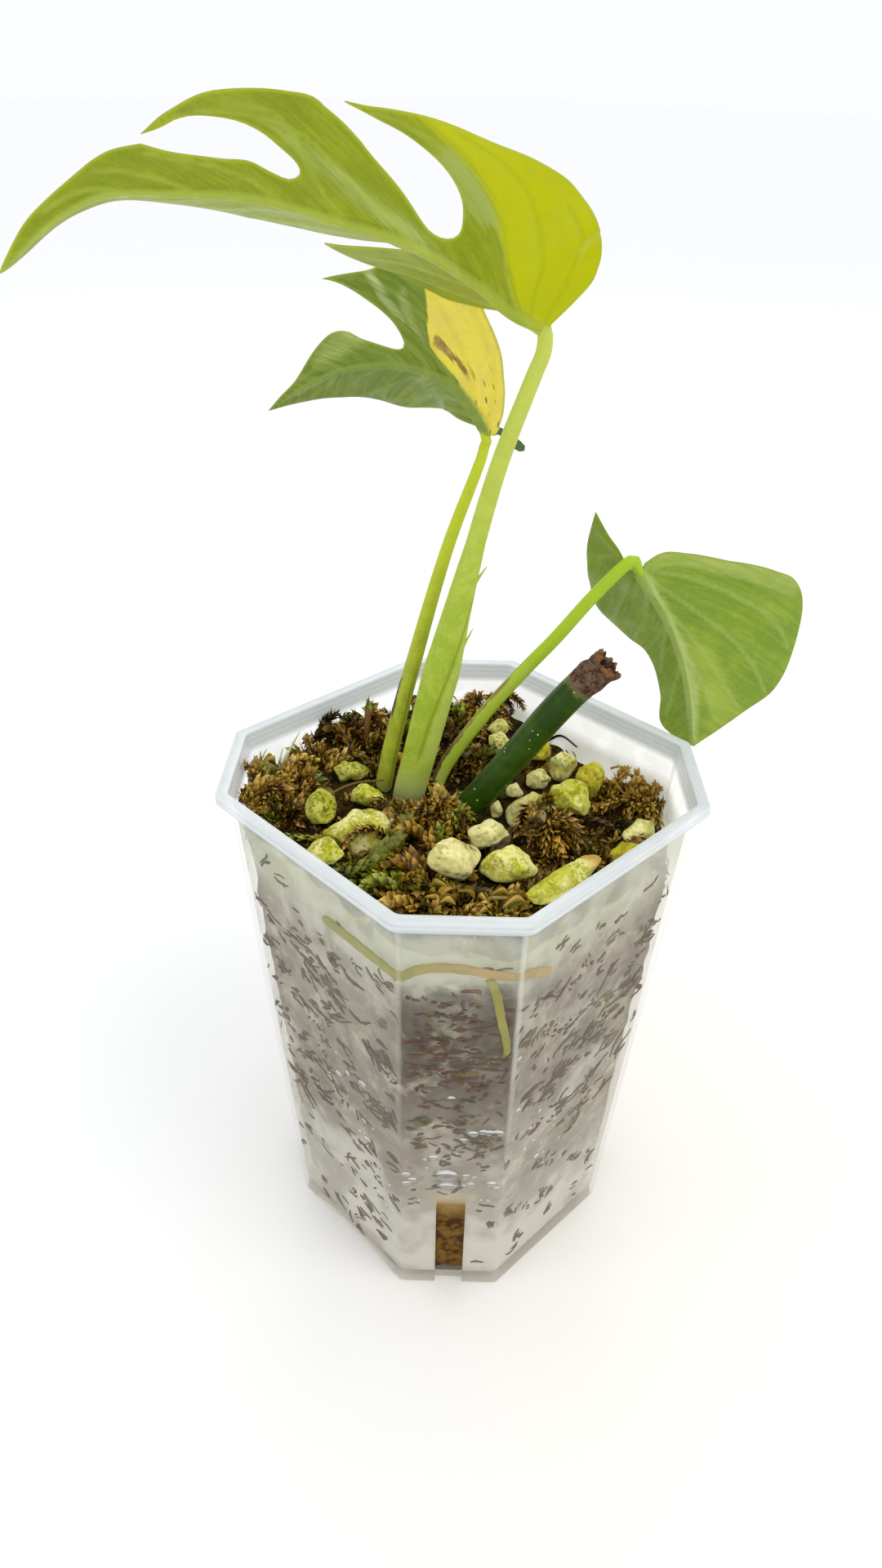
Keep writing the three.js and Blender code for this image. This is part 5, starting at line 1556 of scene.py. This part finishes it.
def shoot_mesh(axis, form, chance):
    """Points, triangles, a value from foot to tip and a tint of a shoot: a core under overlapping leaflets."""
    line = Curve(axis, 8)
    width, leaflet = chance.uniform(*form["width"]), chance.uniform(*form["leaflet"])
    count = max(14, int(line.length * form["density"]))
    share = (np.arange(count) + 0.5) / count
    point, slope, one, two = line.frames(share * line.length)
    swell = np.sin(np.pi * np.clip(share * 0.78 + 0.16, 0, 1)) ** 0.6
    turn = GOLDEN_ANGLE * np.arange(count) + chance.random() * 6
    out = one * np.cos(turn)[:, None] + two * np.sin(turn)[:, None]
    draw = np.array([[chance.random() for _ in range(3)] for _ in range(count)])
    lean = (form["lean"][0] + (form["lean"][1] - form["lean"][0]) * draw[:, 0]) * (1.15 - 0.45 * share)
    curl = form["curl"][0] + (form["curl"][1] - form["curl"][0]) * draw[:, 1]
    long = leaflet * (0.55 + 0.45 * swell) * (0.75 + 0.5 * draw[:, 2])
    side = unit(np.cross(slope, out)) * (form["slim"] * long)[:, None]
    centres = [point + out * (0.22 * width * swell)[:, None]]
    for bent in (0.2, 0.55, 0.9):
        angle = (lean + curl * bent)[:, None]
        way = slope * np.cos(angle) + out * np.sin(angle)
        centres.append(centres[-1] + way * (long / 3)[:, None])
    foot, low, high, tip = centres
    fold = unit(np.cross(side, low - foot)) * (0.4 * form["slim"] * long)[:, None]
    corners = np.stack([foot - side * 0.5, foot + side * 0.5, low - side, low + fold, low + side,
                        high - side * 0.75, high + side * 0.75, tip], axis=1)
    pattern = np.array([[0, 3, 2], [0, 1, 3], [1, 4, 3], [2, 3, 5], [3, 6, 5], [3, 4, 6], [5, 6, 7]])
    faces = (np.arange(count)[:, None, None] * 8 + pattern).reshape(-1, 3)
    points = corners.reshape(-1, 3)
    ring_turn = np.linspace(0, 2 * math.pi, CORE_SIDES, endpoint=False)
    rung = np.linspace(0, 1, CORE_LEVELS)
    thick = (form["core"] * width * np.sin(np.pi * np.clip(rung * 0.82 + 0.16, 0, 1)) ** 0.6)[:, None]
    centre, _, a, b = line.frames(rung * line.length)
    core, quads = loft(rings_around(centre, a, b, np.cos(ring_turn) * thick, np.sin(ring_turn) * thick), False, False)
    faces = np.vstack([faces, split(np.array(quads) + len(points))])
    points = np.vstack([points, core])
    none = np.zeros(CORE_LEVELS * CORE_SIDES)
    # the core and the foot of each leaflet get the darkest colour, which is painted shade
    reach = np.concatenate([np.tile([0.1, 0.1, 0.45, 0.3, 0.45, 0.8, 0.8, 1.0], count), none])
    tint = 0.65 * chance.random() + 0.35 * np.concatenate([np.repeat(draw[:, 2], 8), none])
    return points, faces, reach, tint


def curled_leaf(base, heading, tilt, length, width, roll, chance):
    """A dead leaf, rolled in across its width and arched along its length: two skins close together."""
    along, across = 9, 9
    t, w = np.meshgrid(np.linspace(0, 1, along), np.linspace(-1, 1, across), indexing="ij")
    half = 0.5 * width * np.sin(np.pi * (0.06 + 0.88 * t)) ** 0.7
    sideways = half * np.sin(roll * w) / roll * 1.4
    rise = half * (1 - np.cos(roll * w)) / roll * 1.6 + 0.25 * length * np.sin(np.pi * t) + 0.10 * np.sin(9 * t + 4 * w)
    forward = length * (t - 0.5)
    c, s = math.cos(tilt), math.sin(tilt)
    sheet = np.stack([forward * c - rise * s, sideways, forward * s + rise * c], -1)
    skins = [turned(sheet + [0, 0, lift], heading) + np.array(base) for lift in (0.06, -0.06)]
    grid = np.arange(along * across).reshape(along, across)
    quads = np.stack([grid[:-1, :-1], grid[:-1, 1:], grid[1:, 1:], grid[1:, :-1]], -1).reshape(-1, 4)
    faces = np.vstack([split(quads), split(quads)[:, ::-1] + along * across])
    points = np.vstack([skin.reshape(-1, 3) for skin in skins])
    reach = np.tile(np.clip(0.45 + 0.55 * np.abs(w) * chance.uniform(0.4, 1), 0, 1).ravel(), 2)
    return points, faces, reach, np.full(len(points), chance.uniform(0.4, 1.0))


print("shoot forms:", list(FORMS))

# %% Where the shoots grow
STALKS_IN_MOSS = [(-10.4, 4.6, 3.4), (-15.3, 8.1, 1.7), (-4.4, 10.8, 1.6), (0.5, 3.4, 3.0), (5.0, 2.2, 3.0)]
SLAB_PARTS = [(19.1 + step * 0.72, -21.3 + step * 0.69, 3.3) for step in (-6.5, 0, 6.5)]
LOOSE_STONES = [(x, y, 0.23 * (size[0] + size[1])) for x, y, size, *_ in STONES if size[0] < 15]
KEPT_CLEAR = LOOSE_STONES + SLAB_PARTS + STALKS_IN_MOSS
# place in the plant frame, count, spread of the tuft, length, colour, height, form
TUFTS = [
    ((17, -7.5), 6, 2.2, 5.5, "brown", 1.6, "spiky"), ((-7.9, -5.5), 16, 3.6, 6, "brown", 1.4, "fluffy"),
    ((-1.6, -6.4), 14, 3.4, 6, "brown", 1.2, "fluffy"), ((-3, 0), 10, 3.4, 6, "olive", 1.0, "fluffy"),
    ((-12.5, -24), 9, 4.2, 9, "olive", 0.6, "braid"), ((-6, -27), 8, 3.6, 8, "brown", 0.4, "braid"),
    ((-6.5, -21), 7, 3.0, 8, "brown", 0.2, "braid"), ((-0.4, -31), 12, 3.4, 7, "gold", 0.8, "fluffy"),
    ((7.8, -29.6), 10, 3.2, 7, "gold", 0.6, "fluffy"), ((12, -24), 8, 3.4, 7, "brown", 0.2, "fluffy"),
    ((-38.6, -1), 16, 3.4, 7, "gold", 3.0, "fluffy"), ((-34, -7.5), 12, 3.4, 7, "brown", 2.0, "fluffy"),
    ((-36, 8), 11, 4.0, 7, "gold", 1.4, "fluffy"), ((-31, 2.5), 10, 3.4, 6, "brown", 1.6, "fluffy"),
    ((-25, 22), 10, 2.6, 7.5, "dark", 3.0, "spiky"), ((-20.7, 27), 10, 3.0, 8, "brown", 2.6, "spiky"),
    ((-30, 15), 9, 3.0, 6.5, "gold", 0.2, "fluffy"), ((5, 38), 18, 5.0, 7.5, "gold", 3.2, "fluffy"),
    ((-4, 35), 16, 5.0, 7.5, "brown", 2.4, "fluffy"), ((-12, 29), 12, 5.0, 7.5, "brown", 1.8, "fluffy"),
    ((0, 29), 12, 4.4, 7.5, "brown", 1.6, "fluffy"), ((33.2, 8.6), 12, 3.4, 7, "gold", 2.4, "fluffy"),
    ((37.5, 6.5), 10, 2.6, 6, "gold", 2.0, "fluffy"), ((29, 3), 8, 2.6, 6, "dark", 0.6, "fluffy"),
    ((23.5, -11), 9, 2.6, 6, "brown", 0.8, "spiky"), ((-2, 17), 12, 4.4, 7, "dark", 0.8, "fluffy"),
    ((4, 19), 10, 4.0, 7, "brown", 1.0, "fluffy"), ((-26, -13.5), 6, 2.2, 5, "dark", 0.2, "fluffy"),
]
# colour, form and line of the shoots that stand out: places in the plant frame and heights over the moss
SINGLE_SHOOTS = [
    ("brown", "fluffy", line_of("-11.8 -3.7 1, -14.3 -3.6 2.6, -16.4 -4.7 3, -17.8 -7.2 2")),
    ("brown", "fluffy", line_of("-13.2 -14.6 1.6, -16 -15.4 5, -19.5 -17 4.8, -20.7 -18.6 3, -19.6 -21.4 1")),
    ("olive", "braid", line_of("-21 -25 0.6, -17.1 -23.9 1.8, -14.6 -20.8 2.4, -12.4 -16.4 2.6, -10 -10.4 2.8")),
    ("brown", "braid", line_of("-4.1 -15.1 0.8, -7.6 -12.5 2.4, -9.9 -12.7 2.8, -11.6 -15 1.6")),
    ("brown", "braid", line_of("-6.2 -24 0.6, -8.6 -21.8 2.2, -11.8 -20.8 2.4, -14.4 -22.9 1.2")),
    ("olive", "braid", line_of("-10.6 -28.7 0.6, -12.5 -27.2 1.8, -15.1 -26.3 1.8, -16.9 -26.9 0.6")),
    ("gold", "braid", line_of("-7.8 -30.3 0.3, -10.5 -30.8 1.4, -13.1 -31.4 0.6")),
    ("brown", "spiky", line_of("15.7 -6.3 4.2, 16.3 -7.9 4, 15.8 -10.2 3, 15.8 -12.1 1")),
    ("brown", "spiky", line_of("15.2 -2.3 4.2, 13.3 -2 4.8, 11.8 -5.1 4.2, 10.7 -8.4 2.6")),
    ("brown", "spiky", line_of("13 -8.4 3.6, 14 -3.3 4.4, 15.5 -0.2 5.2, 16.7 -4.3 5.2, 17.4 -7.3 3.8")),
    ("brown", "spiky", line_of("15.9 -8.8 4, 18.8 -7.5 4.6, 20.9 -6.4 3.8, 21.9 -8.1 1.2")),
    ("brown", "spiky", line_of("19.2 -11.3 1.6, 16.4 -16.4 2.6, 13.6 -18 3, 11.2 -22.1 1.6")),
    ("brown", "spiky", line_of("21.7 -6.3 2, 24 -7.4 3, 26.4 -9.2 2.4, 28 -10.3 1")),
    ("brown", "fluffy", line_of("-7 -7.6 1, -4.6 -4 2.6, -2.1 -2.5 3, 1.1 -2.7 1.8")),
    ("brown", "fluffy", line_of("-2.6 -6.8 1, -3.9 -5.7 2.6, -6.4 -6 3, -8.9 -5.9 1.6")),
    ("olive", "fluffy", line_of("-0.7 -6.9 1, -1.4 -5.2 2.4, 0.1 -2.7 2.6, 2.1 -3.5 1.2")),
    ("gold", "fluffy", line_of("29.6 6.1 1, 30.8 8.4 2.6, 32.2 10.6 3.6, 33.7 14 3.4")),
    ("dark", "spiky", line_of("-30.8 19.5 1, -30.2 22.3 3, -28.3 21.9 4.4, -26.3 22.5 5.4")),
    ("brown", "spiky", line_of("-22.7 14.7 1, -23.8 18.2 3, -25.6 19.5 4.4, -28 18.8 4.4")),
    ("brown", "fluffy", line_of("-19.5 17 1, -18.8 18.6 2.6, -16.3 20.3 3.2, -14.3 21.1 2")),
    ("gold", "fluffy", line_of("-33.9 -0.3 1, -34.1 3.8 2.8, -32.2 8.7 3.6, -29.4 9.2 2.6")),
    ("gold", "fluffy", line_of("-39 -9.2 1, -39.4 -6.6 3, -38.1 -4.5 4, -35.8 -2.6 3")),
]
# place, count and spread of the rolled leaves
ROLLED_LEAVES = [
    ((-3.4, -29.2), 4, 2.6), ((2.8, -29.2), 3, 3.0), ((8.5, -27.8), 3, 2.6), ((-38, -5), 2, 3.0), ((-36, 6), 2, 3.0),
    ((33, 9.4), 3, 2.6), ((-10.6, -31), 2, 1.6), ((4, 38), 3, 4.0),
]
# tint from dark to pale, thickness at the foot and the tip, and line of the bare stalks and seedlings
STICKS = [
    (1.0, 0.5, 0.06, line_of("-36.2 9.3 -0.6, -35.4 10.8 1.8, -34.2 13.2 3.4, -33 15.8 4.8")),
    (0.9, 0.4, 0.05, line_of("-36.8 9.0 -0.6, -36.6 10.4 1.4, -36.2 12.4 3.2")),
    (0.95, 0.5, 0.06, line_of("-41.4 7.6 -0.6, -40.9 9.2 1.2, -40.0 11 2.4, -40.4 13 3.6")),
    (0.35, 0.95, 0.7, line_of("-19.9 22 -1, -20.0 23 2.0, -19.8 24.4 4.8")),
    (0.1, 0.34, 0.22, line_of("19.6 32.4 0, 22 29.6 1.8, 25.2 26.2 2.2")),
    (0.45, 0.24, 0.16, line_of("-28 -7.6 1.2, -25.4 -3.8 3.0, -21 0.2 3.4, -15.4 4.4 3.0")),
    (0.05, 0.34, 0.26, line_of("-40.6 -2.4 1.0, -39.0 -0.4 3.4, -37.4 1.4 3.2")),
    (0.6, 0.30, 0.24, line_of("32.2 12.8 -0.4, 32.4 13.4 1.6, 32.6 14.4 3.4")),
    (0.6, 0.26, 0.20, line_of("30.6 14.2 3.4, 32.6 14.4 3.6, 34.2 14.2 3.2")),
    (0.85, 0.30, 0.16, line_of("39.6 2.2 0, 40.0 3.2 1.6, 40.2 4.6 2.6")),
    (1.0, 0.9, 0.5, line_of("-13.6 -9.0 0.2, -13.4 -8.4 1.6, -12.8 -7.8 2.2")),
    (0.7, 0.5, 0.35, line_of("3.0 -29.4 0.8, 5.2 -28.4 1.9, 8.2 -27.6 1.6")),
]
# count of the scattered shoots, and half the width of the square that their places are drawn from
SCATTERED, FIELD = 190, 48
COLOUR_SHARES = [("brown", 0.45), ("olive", 0.2), ("gold", 0.19), ("dark", 0.16)]


def clear_of_stones(x, y, room):
    return all(math.hypot(x - sx, y - sy) > size * room for sx, sy, size in KEPT_CLEAR)


def in_pot(x, y, margin):
    """Whether a place in the plant frame is well inside the wall at the moss."""
    spot = turned([x, y, 0.0])
    return all(spot[0] * nx + spot[1] * ny < face_distance(side, SOIL_LEVEL) - margin
               for side, (nx, ny) in enumerate(SIDES))


def over_moss(places):
    return [(x, y, float(soil_height(x, y)) + lift) for x, y, lift in places]


def scattered_shoots(chance):
    """Low shoots that fill the space between the stones: colour, form and axis of each."""
    plan = []
    while len(plan) < SCATTERED:
        x, y = chance.uniform(-FIELD, FIELD), chance.uniform(-FIELD, FIELD)
        heading, length = chance.uniform(0, 2 * math.pi), chance.uniform(6, 11)
        ahead = (x + math.cos(heading) * length * 0.6, y + math.sin(heading) * length * 0.6)
        if not in_pot(x, y, 3.0) or not in_pot(*ahead, 2.5):
            continue
        if not clear_of_stones(x, y, 1.1) or not clear_of_stones(*ahead, 1.1):
            continue
        kind = chance.choices([name for name, _ in COLOUR_SHARES], [share for _, share in COLOUR_SHARES])[0]
        form = "fluffy" if chance.random() < 0.62 else "braid"
        axis = shoot_axis(over_moss([(x, y, -1.4)])[0], heading, chance.uniform(0.2, 0.8), length,
                          chance.uniform(0.8, 1.9), chance.uniform(-1.4, 1.4))
        plan.append((kind, form, axis))
    return plan


def tuft_shoots(chance):
    """Shoots that rise from a mound and fall outward: colour, form and axis of each."""
    plan = []
    for (x, y), count, wide, length, kind, high, form in TUFTS:
        for k in range(count):
            turn = GOLDEN_ANGLE * k + chance.random()
            far = wide * math.sqrt((k + 0.5) / count)
            spot = (x + far * math.cos(turn) * 0.7, y + far * math.sin(turn) * 0.7)
            if not in_pot(*spot, 2.2):
                continue
            other = kind if chance.random() < 0.7 else chance.choice(list(MOSS_COLOURS))
            lift = high * (1 - (far / wide) ** 2 * 0.6) - 1.0
            axis = shoot_axis(over_moss([(*spot, lift)])[0], turn + chance.uniform(-0.7, 0.7), chance.uniform(0.2, 1.2),
                              length * chance.uniform(0.6, 1.1), chance.uniform(1.4, 3.2), chance.uniform(-1.6, 1.6))
            plan.append((other, form, axis))
    return plan


print(len(TUFTS), "tufts,", len(SINGLE_SHOOTS), "single shoots and", SCATTERED, "scattered ones")

# %% [markdown]
# ### Colours of the moss
#
# Dead moss is brown with amber tips, living moss olive, and the wet hollows are nearly black with painted shade. Four
# pieces carry the four colours, each with its own mix from foot to tip: a leaflet is darkest at its foot, which is
# painted shade, and its bright tip is partly painted highlight.

# %% Moss finishes and pieces
MOSS_BACK = 0.35
MOSS_COLOURS = {
    "brown": ((0.010, 0.004, 0.001), (0.125, 0.060, 0.005), (0.60, 0.35, 0.045)),
    "gold": ((0.030, 0.013, 0.002), (0.27, 0.140, 0.010), (0.80, 0.56, 0.11)),
    "olive": ((0.010, 0.012, 0.001), (0.105, 0.115, 0.005), (0.40, 0.43, 0.03)),
    "dark": ((0.005, 0.002, 0.001), (0.040, 0.019, 0.002), (0.17, 0.10, 0.012)),
}


def moss_finish(kind):
    foot, body, tip = MOSS_COLOURS[kind]
    f = Finish(f"moss_{kind}", Specular_IOR_Level=0.35)
    reach, tint = f.stored("reach"), f.stored("tint")
    olive = f.effect(MOTTLE, Scale=130.0, Fine=0.4, Low=0.5, High=0.72)
    red = f.effect(MOTTLE, Scale=90.0, Fine=0.4, Low=0.58, High=0.74)
    rough = f.effect(MOTTLE, Scale=700.0, Fine=0.4, Low=0.3, High=0.7)
    # painted shade at the foot of each leaflet and on the core, and painted highlight on the tips together with their
    # amber
    tone = f.over(
        foot,
        (body, f.ramp(reach, 0.0, 0.5)),
        (tip, f.times(f.ramp(reach, 0.35, 1.0), f.ramp(tint, 0.2, 0.8, 0.2, 1.0))),
        ((0.14, 0.145, 0.007), f.times(olive, 0.45)),
        ((0.12, 0.032, 0.006), f.times(red, 0.45)),
    )
    return f.done(Base_Color=tone, Roughness=f.ramp(rough, 0.0, 1.0, 0.2, 0.5))


def stick_finish():
    f = Finish("bare_stalks", Roughness=0.45, Specular_IOR_Level=0.25)
    tint = f.stored("tint")
    mottled = f.effect(MOTTLE, Scale=500.0, Fine=0.6, Low=0.3, High=0.7)
    return f.done(Base_Color=f.over(
        (0.025, 0.010, 0.003),
        ((0.17, 0.075, 0.012), f.ramp(tint, 0.05, 0.35)),
        ((0.30, 0.24, 0.05), f.ramp(tint, 0.4, 0.6)),
        ((0.62, 0.62, 0.34), f.ramp(tint, 0.65, 0.9)),
        ((0.16, 0.09, 0.02), f.times(mottled, 0.3)),
    ))


def rolled_leaves(chance):
    parts = []
    for (x, y), count, wide in ROLLED_LEAVES:
        for k in range(count):
            turn, far = GOLDEN_ANGLE * k + chance.random(), wide * math.sqrt((k + 0.5) / count)
            base = over_moss([(x + far * math.cos(turn), y + far * math.sin(turn), chance.uniform(0.6, 2.0))])[0]
            parts.append(curled_leaf(base, chance.uniform(0, 6.3), chance.uniform(-0.6, 0.6), chance.uniform(2.6, 4.2),
                                     chance.uniform(1.8, 2.6), chance.uniform(2.0, 2.9), chance))
    return parts


def grow_moss():
    chance = random.Random(29)
    singles = [(kind, form, over_moss(line)) for kind, form, line in SINGLE_SHOOTS]
    grown = {kind: [] for kind in MOSS_COLOURS}
    for kind, form, axis in scattered_shoots(chance) + tuft_shoots(chance) + singles:
        grown[kind].append(shoot_mesh(axis, FORMS[form], chance))
    grown["gold"] += rolled_leaves(chance)
    for kind, parts in grown.items():
        starts = np.cumsum([0] + [len(part[0]) for part in parts])
        points = kept_inside(turned(np.vstack([part[0] for part in parts])), WALL + MOSS_BACK)
        faces = np.vstack([part[1] + start for part, start in zip(parts, starts)])
        values = {name: np.concatenate([part[k] for part in parts]) for k, name in ((2, "reach"), (3, "tint"))}
        new_piece(f"moss_sprigs_{kind}", points, faces, moss_finish(kind), "moss", (), values)


def grow_sticks():
    parts, tints = [], []
    for tint, foot, tip, places in STICKS:
        points, faces, share = rod_mesh(
            over_moss(places), lambda share, _: foot + (tip - foot) * share, sides=8, step=0.4)
        parts.append((kept_inside(turned(points), WALL + MOSS_BACK), faces))
        tints.append(np.full(len(share), tint))
    new_piece("bare_stalks", *joined(parts), stick_finish(), "moss", (), {"tint": np.concatenate(tints)})


grow_moss()
grow_sticks()

# %% [markdown]
# ## What shows through the wall
#
# Threads and scraps of moss that touch the plastic are sharp through it, while all that is a little deeper is lost in
# mist. Each scrap is a thin ragged strip that lies against the inside of a wall. The strips are drawn in two measures,
# across a wall and up it, and then laid on that wall. They are denser in slanting bands, and in rows where the mist
# on the narrow facets is thin.

# %% Scraps against the wall
SCRAP_COUNT, SCRAP_ROOM = 2600, 0.6
SCRAP_DEPTH, SCRAP_THICK = WALL - 0.12, 0.12
# heights of the rows of scraps in the clearer part of the narrow facets, and how many there are in each facet
WINDOW_ROWS, WINDOW_SCRAPS = (92, 89, 85, 80.5, 77, 74.5, 70, 64.5, 58, 53), 190
# how the strips slope on each of the eight faces
SLANTS = (0.3, -0.15, 0.25, 0.1, -0.2, 0.15, -0.3, 0.0)


def wall_point(side, across, z, depth):
    nx, ny = SIDES[side]
    reach = face_distance(side, z) - depth
    return np.stack([nx * reach - ny * across, ny * reach + nx * across, z], -1)


def scrap_strip(chance, side, across, z, heading, length, width, curl):
    """A ragged strip on a wall, as points and triangles: two skins close together."""
    count = max(4, int(length / 0.6))
    t = np.linspace(0, 1, count)
    way = heading + curl * (t - 0.5) + 0.5 * np.sin(t * 7 + chance.random() * 6) * 0.4
    step = length / (count - 1)
    line_across = across + np.concatenate([[0], np.cumsum(np.cos(way[:-1]) * step)])
    line_z = z + np.concatenate([[0], np.cumsum(np.sin(way[:-1]) * step)])
    ragged = np.array([chance.uniform(0.45, 1.1) for _ in range(count)])
    half = 0.5 * width * ragged * np.sin(np.pi * np.clip(0.08 + 0.86 * t, 0, 1)) ** 0.5
    off_across, off_z = -np.sin(way) * half, np.cos(way) * half
    back = SCRAP_DEPTH + SCRAP_THICK
    rows = [wall_point(side, line_across + sign * off_across, line_z + sign * off_z, depth)
            for sign, depth in ((1, SCRAP_DEPTH), (-1, SCRAP_DEPTH), (-1, back), (1, back))]
    return loft(np.stack(rows, axis=1))


def scrap_fits(side, across, z, room):
    half, cut = wall_size(z)
    limit = (half - cut if side % 2 == 0 else cut / math.sqrt(2)) - room
    in_slot = side % 2 == 1 and abs(across) < SLOT_WIDTH / 2 + 1.5 and z < SLOT_HEIGHT + 2
    return abs(across) < limit and not in_slot


def strip_fits(side, across, z, heading, length):
    return all(scrap_fits(side, place, z, SCRAP_ROOM) for place in (across, across + math.cos(heading) * length))


def wall_scraps():
    chance = random.Random(77)
    parts, tints = [], []
    while len(parts) < SCRAP_COUNT:
        side = chance.randrange(8)
        across, z = chance.uniform(-23, 23), 5 + 96 * chance.random()
        spot = np.array([[across + 40 * side, z * 1.6 + across * 0.5, 0.0]])
        thick = 0.5 + 0.5 * noise(spot, 11.0, 51)[0] + 0.25 * noise(spot, 4.0, 52)[0]
        fade = between(z, [(3, 0.35), (35, 0.5), (55, 1.0), (90, 1.0), (95, 0.45), (101, 0.25), (105, 0.0)])
        fade *= 0.05 if side in (1, 5) else 1.0
        heading = chance.gauss(SLANTS[side], 0.35) + (0 if chance.random() < 0.85 else math.pi / 3)
        length = min(7.0, 1.1 + chance.expovariate(0.6))
        if chance.random() > thick * fade or not strip_fits(side, across, z, heading, length):
            continue
        tint = 0.55 * chance.random() if side % 2 else chance.random()
        for _ in range(chance.choice((1, 2, 4, 6))):
            parts.append(scrap_strip(chance, side, across, z, heading, length,
                                     chance.uniform(0.3, 1.0), chance.uniform(-1.6, 1.6)))
            tints.append(np.full(len(parts[-1][0]), tint))
            across, z = across + chance.uniform(-1.2, 1.6), z + chance.uniform(-1.0, 1.0)
            heading, length = heading + chance.uniform(-0.6, 0.6), max(1.0, length * chance.uniform(0.5, 1.0))
            if not strip_fits(side, across, z, heading, length):
                break
    for side in (1, 3, 5, 7):
        for _ in range(WINDOW_SCRAPS // 20 if side in (1, 5) else WINDOW_SCRAPS):
            across, z = chance.uniform(-9.5, 9.5), chance.choice(WINDOW_ROWS) + chance.gauss(0, 1.5)
            heading, length = chance.gauss(0.0, 0.45), 0.9 + chance.expovariate(0.8)
            if side == 7 and z > 78 and across + length > 5.2:
                continue
            if strip_fits(side, across, z, heading, length):
                parts.append(scrap_strip(chance, side, across, z, heading, length,
                                         chance.uniform(0.5, 1.3), chance.uniform(-2, 2)))
                tints.append(np.full(len(parts[-1][0]), chance.choice((0.1, 0.45, 0.45, 0.65, 0.9))))
    return joined(parts), np.concatenate(tints)


def scrap_finish():
    f = Finish("pressed_moss", Roughness=0.6)
    tint = f.stored("tint")
    patches = f.effect(MOTTLE, Scale=420.0, Fine=0.6, Low=0.35, High=0.7)
    tone = f.over(
        (0.075, 0.034, 0.012),
        ((0.10, 0.022, 0.010), f.ramp(tint, 0.3, 0.4)),
        ((0.13, 0.12, 0.015), f.ramp(tint, 0.6, 0.66)),
        ((0.03, 0.038, 0.015), f.ramp(tint, 0.78, 0.84)),
        ((0.16, 0.10, 0.045), f.times(patches, 0.4)),
    )
    return f.done(Base_Color=tone, Normal=f.effect(RELIEF, Scale=900.0, Strength=0.3, Depth=0.0002))


(scrap_points, scrap_faces), scrap_tint = wall_scraps()
new_piece("wall_scraps", scrap_points, scrap_faces, scrap_finish(), "moss", (), {"tint": scrap_tint})

# %% [markdown]
# ### Beads of water
#
# Where the mist is thickest, water has run together into beads that hang on the inside of the wall. A bead is a
# small flattened ball, a little wider than high, and smooth; its white upper side is a painted highlight, and the rest
# is painted dark, most opaque at its edges.

# %% Beads of water
BEAD_COUNT, BEAD_ROOM = 90, 1.2
# side of the wall, place across it, height and radius of the large beads
LARGE_BEADS = [
    (7, -0.7, 65.7, 0.8), (7, -3.8, 46.7, 0.9), (7, -1.1, 40.6, 1.9), (7, -1.0, 37.0, 1.3), (7, 3.7, 54.9, 0.9),
    (7, 2.0, 52.7, 0.7), (7, 5.7, 55.5, 0.8), (7, 6.9, 55.3, 0.9), (7, 8.4, 55.3, 1.0), (7, -9.2, 40.8, 0.7),
    (7, -9.0, 37.6, 0.8), (7, -7.9, 38.9, 0.8), (7, 8.0, 38.1, 0.9), (7, 9.0, 36.7, 0.6), (6, 8.7, 59.5, 0.9),
    (6, 8.6, 42.0, 0.8), (6, 1.1, 56.1, 0.7), (0, -19.0, 76.4, 0.5), (0, -17.0, 60.0, 0.7), (0, -12.0, 50.0, 0.6),
]
# side, place across, height and spread of the clusters of small beads
BEAD_SPOTS = [
    (6, 6, 50, 11), (7, 0, 34, 9), (7, 2, 42, 9), (0, -8, 40, 9), (6, 12, 30, 9), (2, 0, 40, 16), (4, 4, 36, 16)]


def wall_beads():
    chance = random.Random(5)
    beads = list(LARGE_BEADS)
    while len(beads) < BEAD_COUNT:
        side, across, z, wide = chance.choice(BEAD_SPOTS)
        across, z = across + chance.gauss(0, 0.5 * wide), z + chance.gauss(0, 0.7 * wide)
        if scrap_fits(side, across, z, BEAD_ROOM) and z > 4:
            beads.append((side, across, z, min(0.6, 0.25 + chance.expovariate(8.0))))
    parts = []
    for side, across, z, radius in beads:
        spots = BEAD_BALL * [radius * chance.uniform(1.1, 1.5), radius, 0.45 * radius]
        spread = wall_point(side, across + spots[:, 0], z + spots[:, 1], WALL - 0.1 - spots[:, 2].clip(-0.5, 0.55))
        parts.append((spread, BEAD_FACES))
    return joined(parts)


def bead_finish():
    f = Finish("water_beads", Roughness=0.06, IOR=1.33, Specular_IOR_Level=0.8)
    facing = f.node("ShaderNodeLayerWeight", {"Blend": 0.35}).outputs["Facing"]
    upward = f.parts(f.node("ShaderNodeNewGeometry").outputs["Normal"])[2]
    mottled = f.effect(MOTTLE, Scale=300.0, Fine=0.3, Low=0.3, High=0.7)
    # painted highlight: white on the upper side of each bead; painted dark below it
    tone = f.over((0.16, 0.14, 0.12), ((0.97, 0.98, 0.98), f.ramp(upward, -0.1, 0.45)),
                  ((0.62, 0.60, 0.55), f.times(mottled, 0.2)))
    rim = f.sums("MAXIMUM", f.ramp(facing, 0.3, 0.8), f.ramp(f.size(upward), 0.25, 0.7))
    return f.done(Base_Color=tone, Alpha=f.ramp(rim, 0.0, 1.0, 0.12, 0.85))


BEAD_BALL, BEAD_FACES = fine_ball(2)
new_piece("wall_beads", *wall_beads(), bead_finish(), "pot_plastic", ())
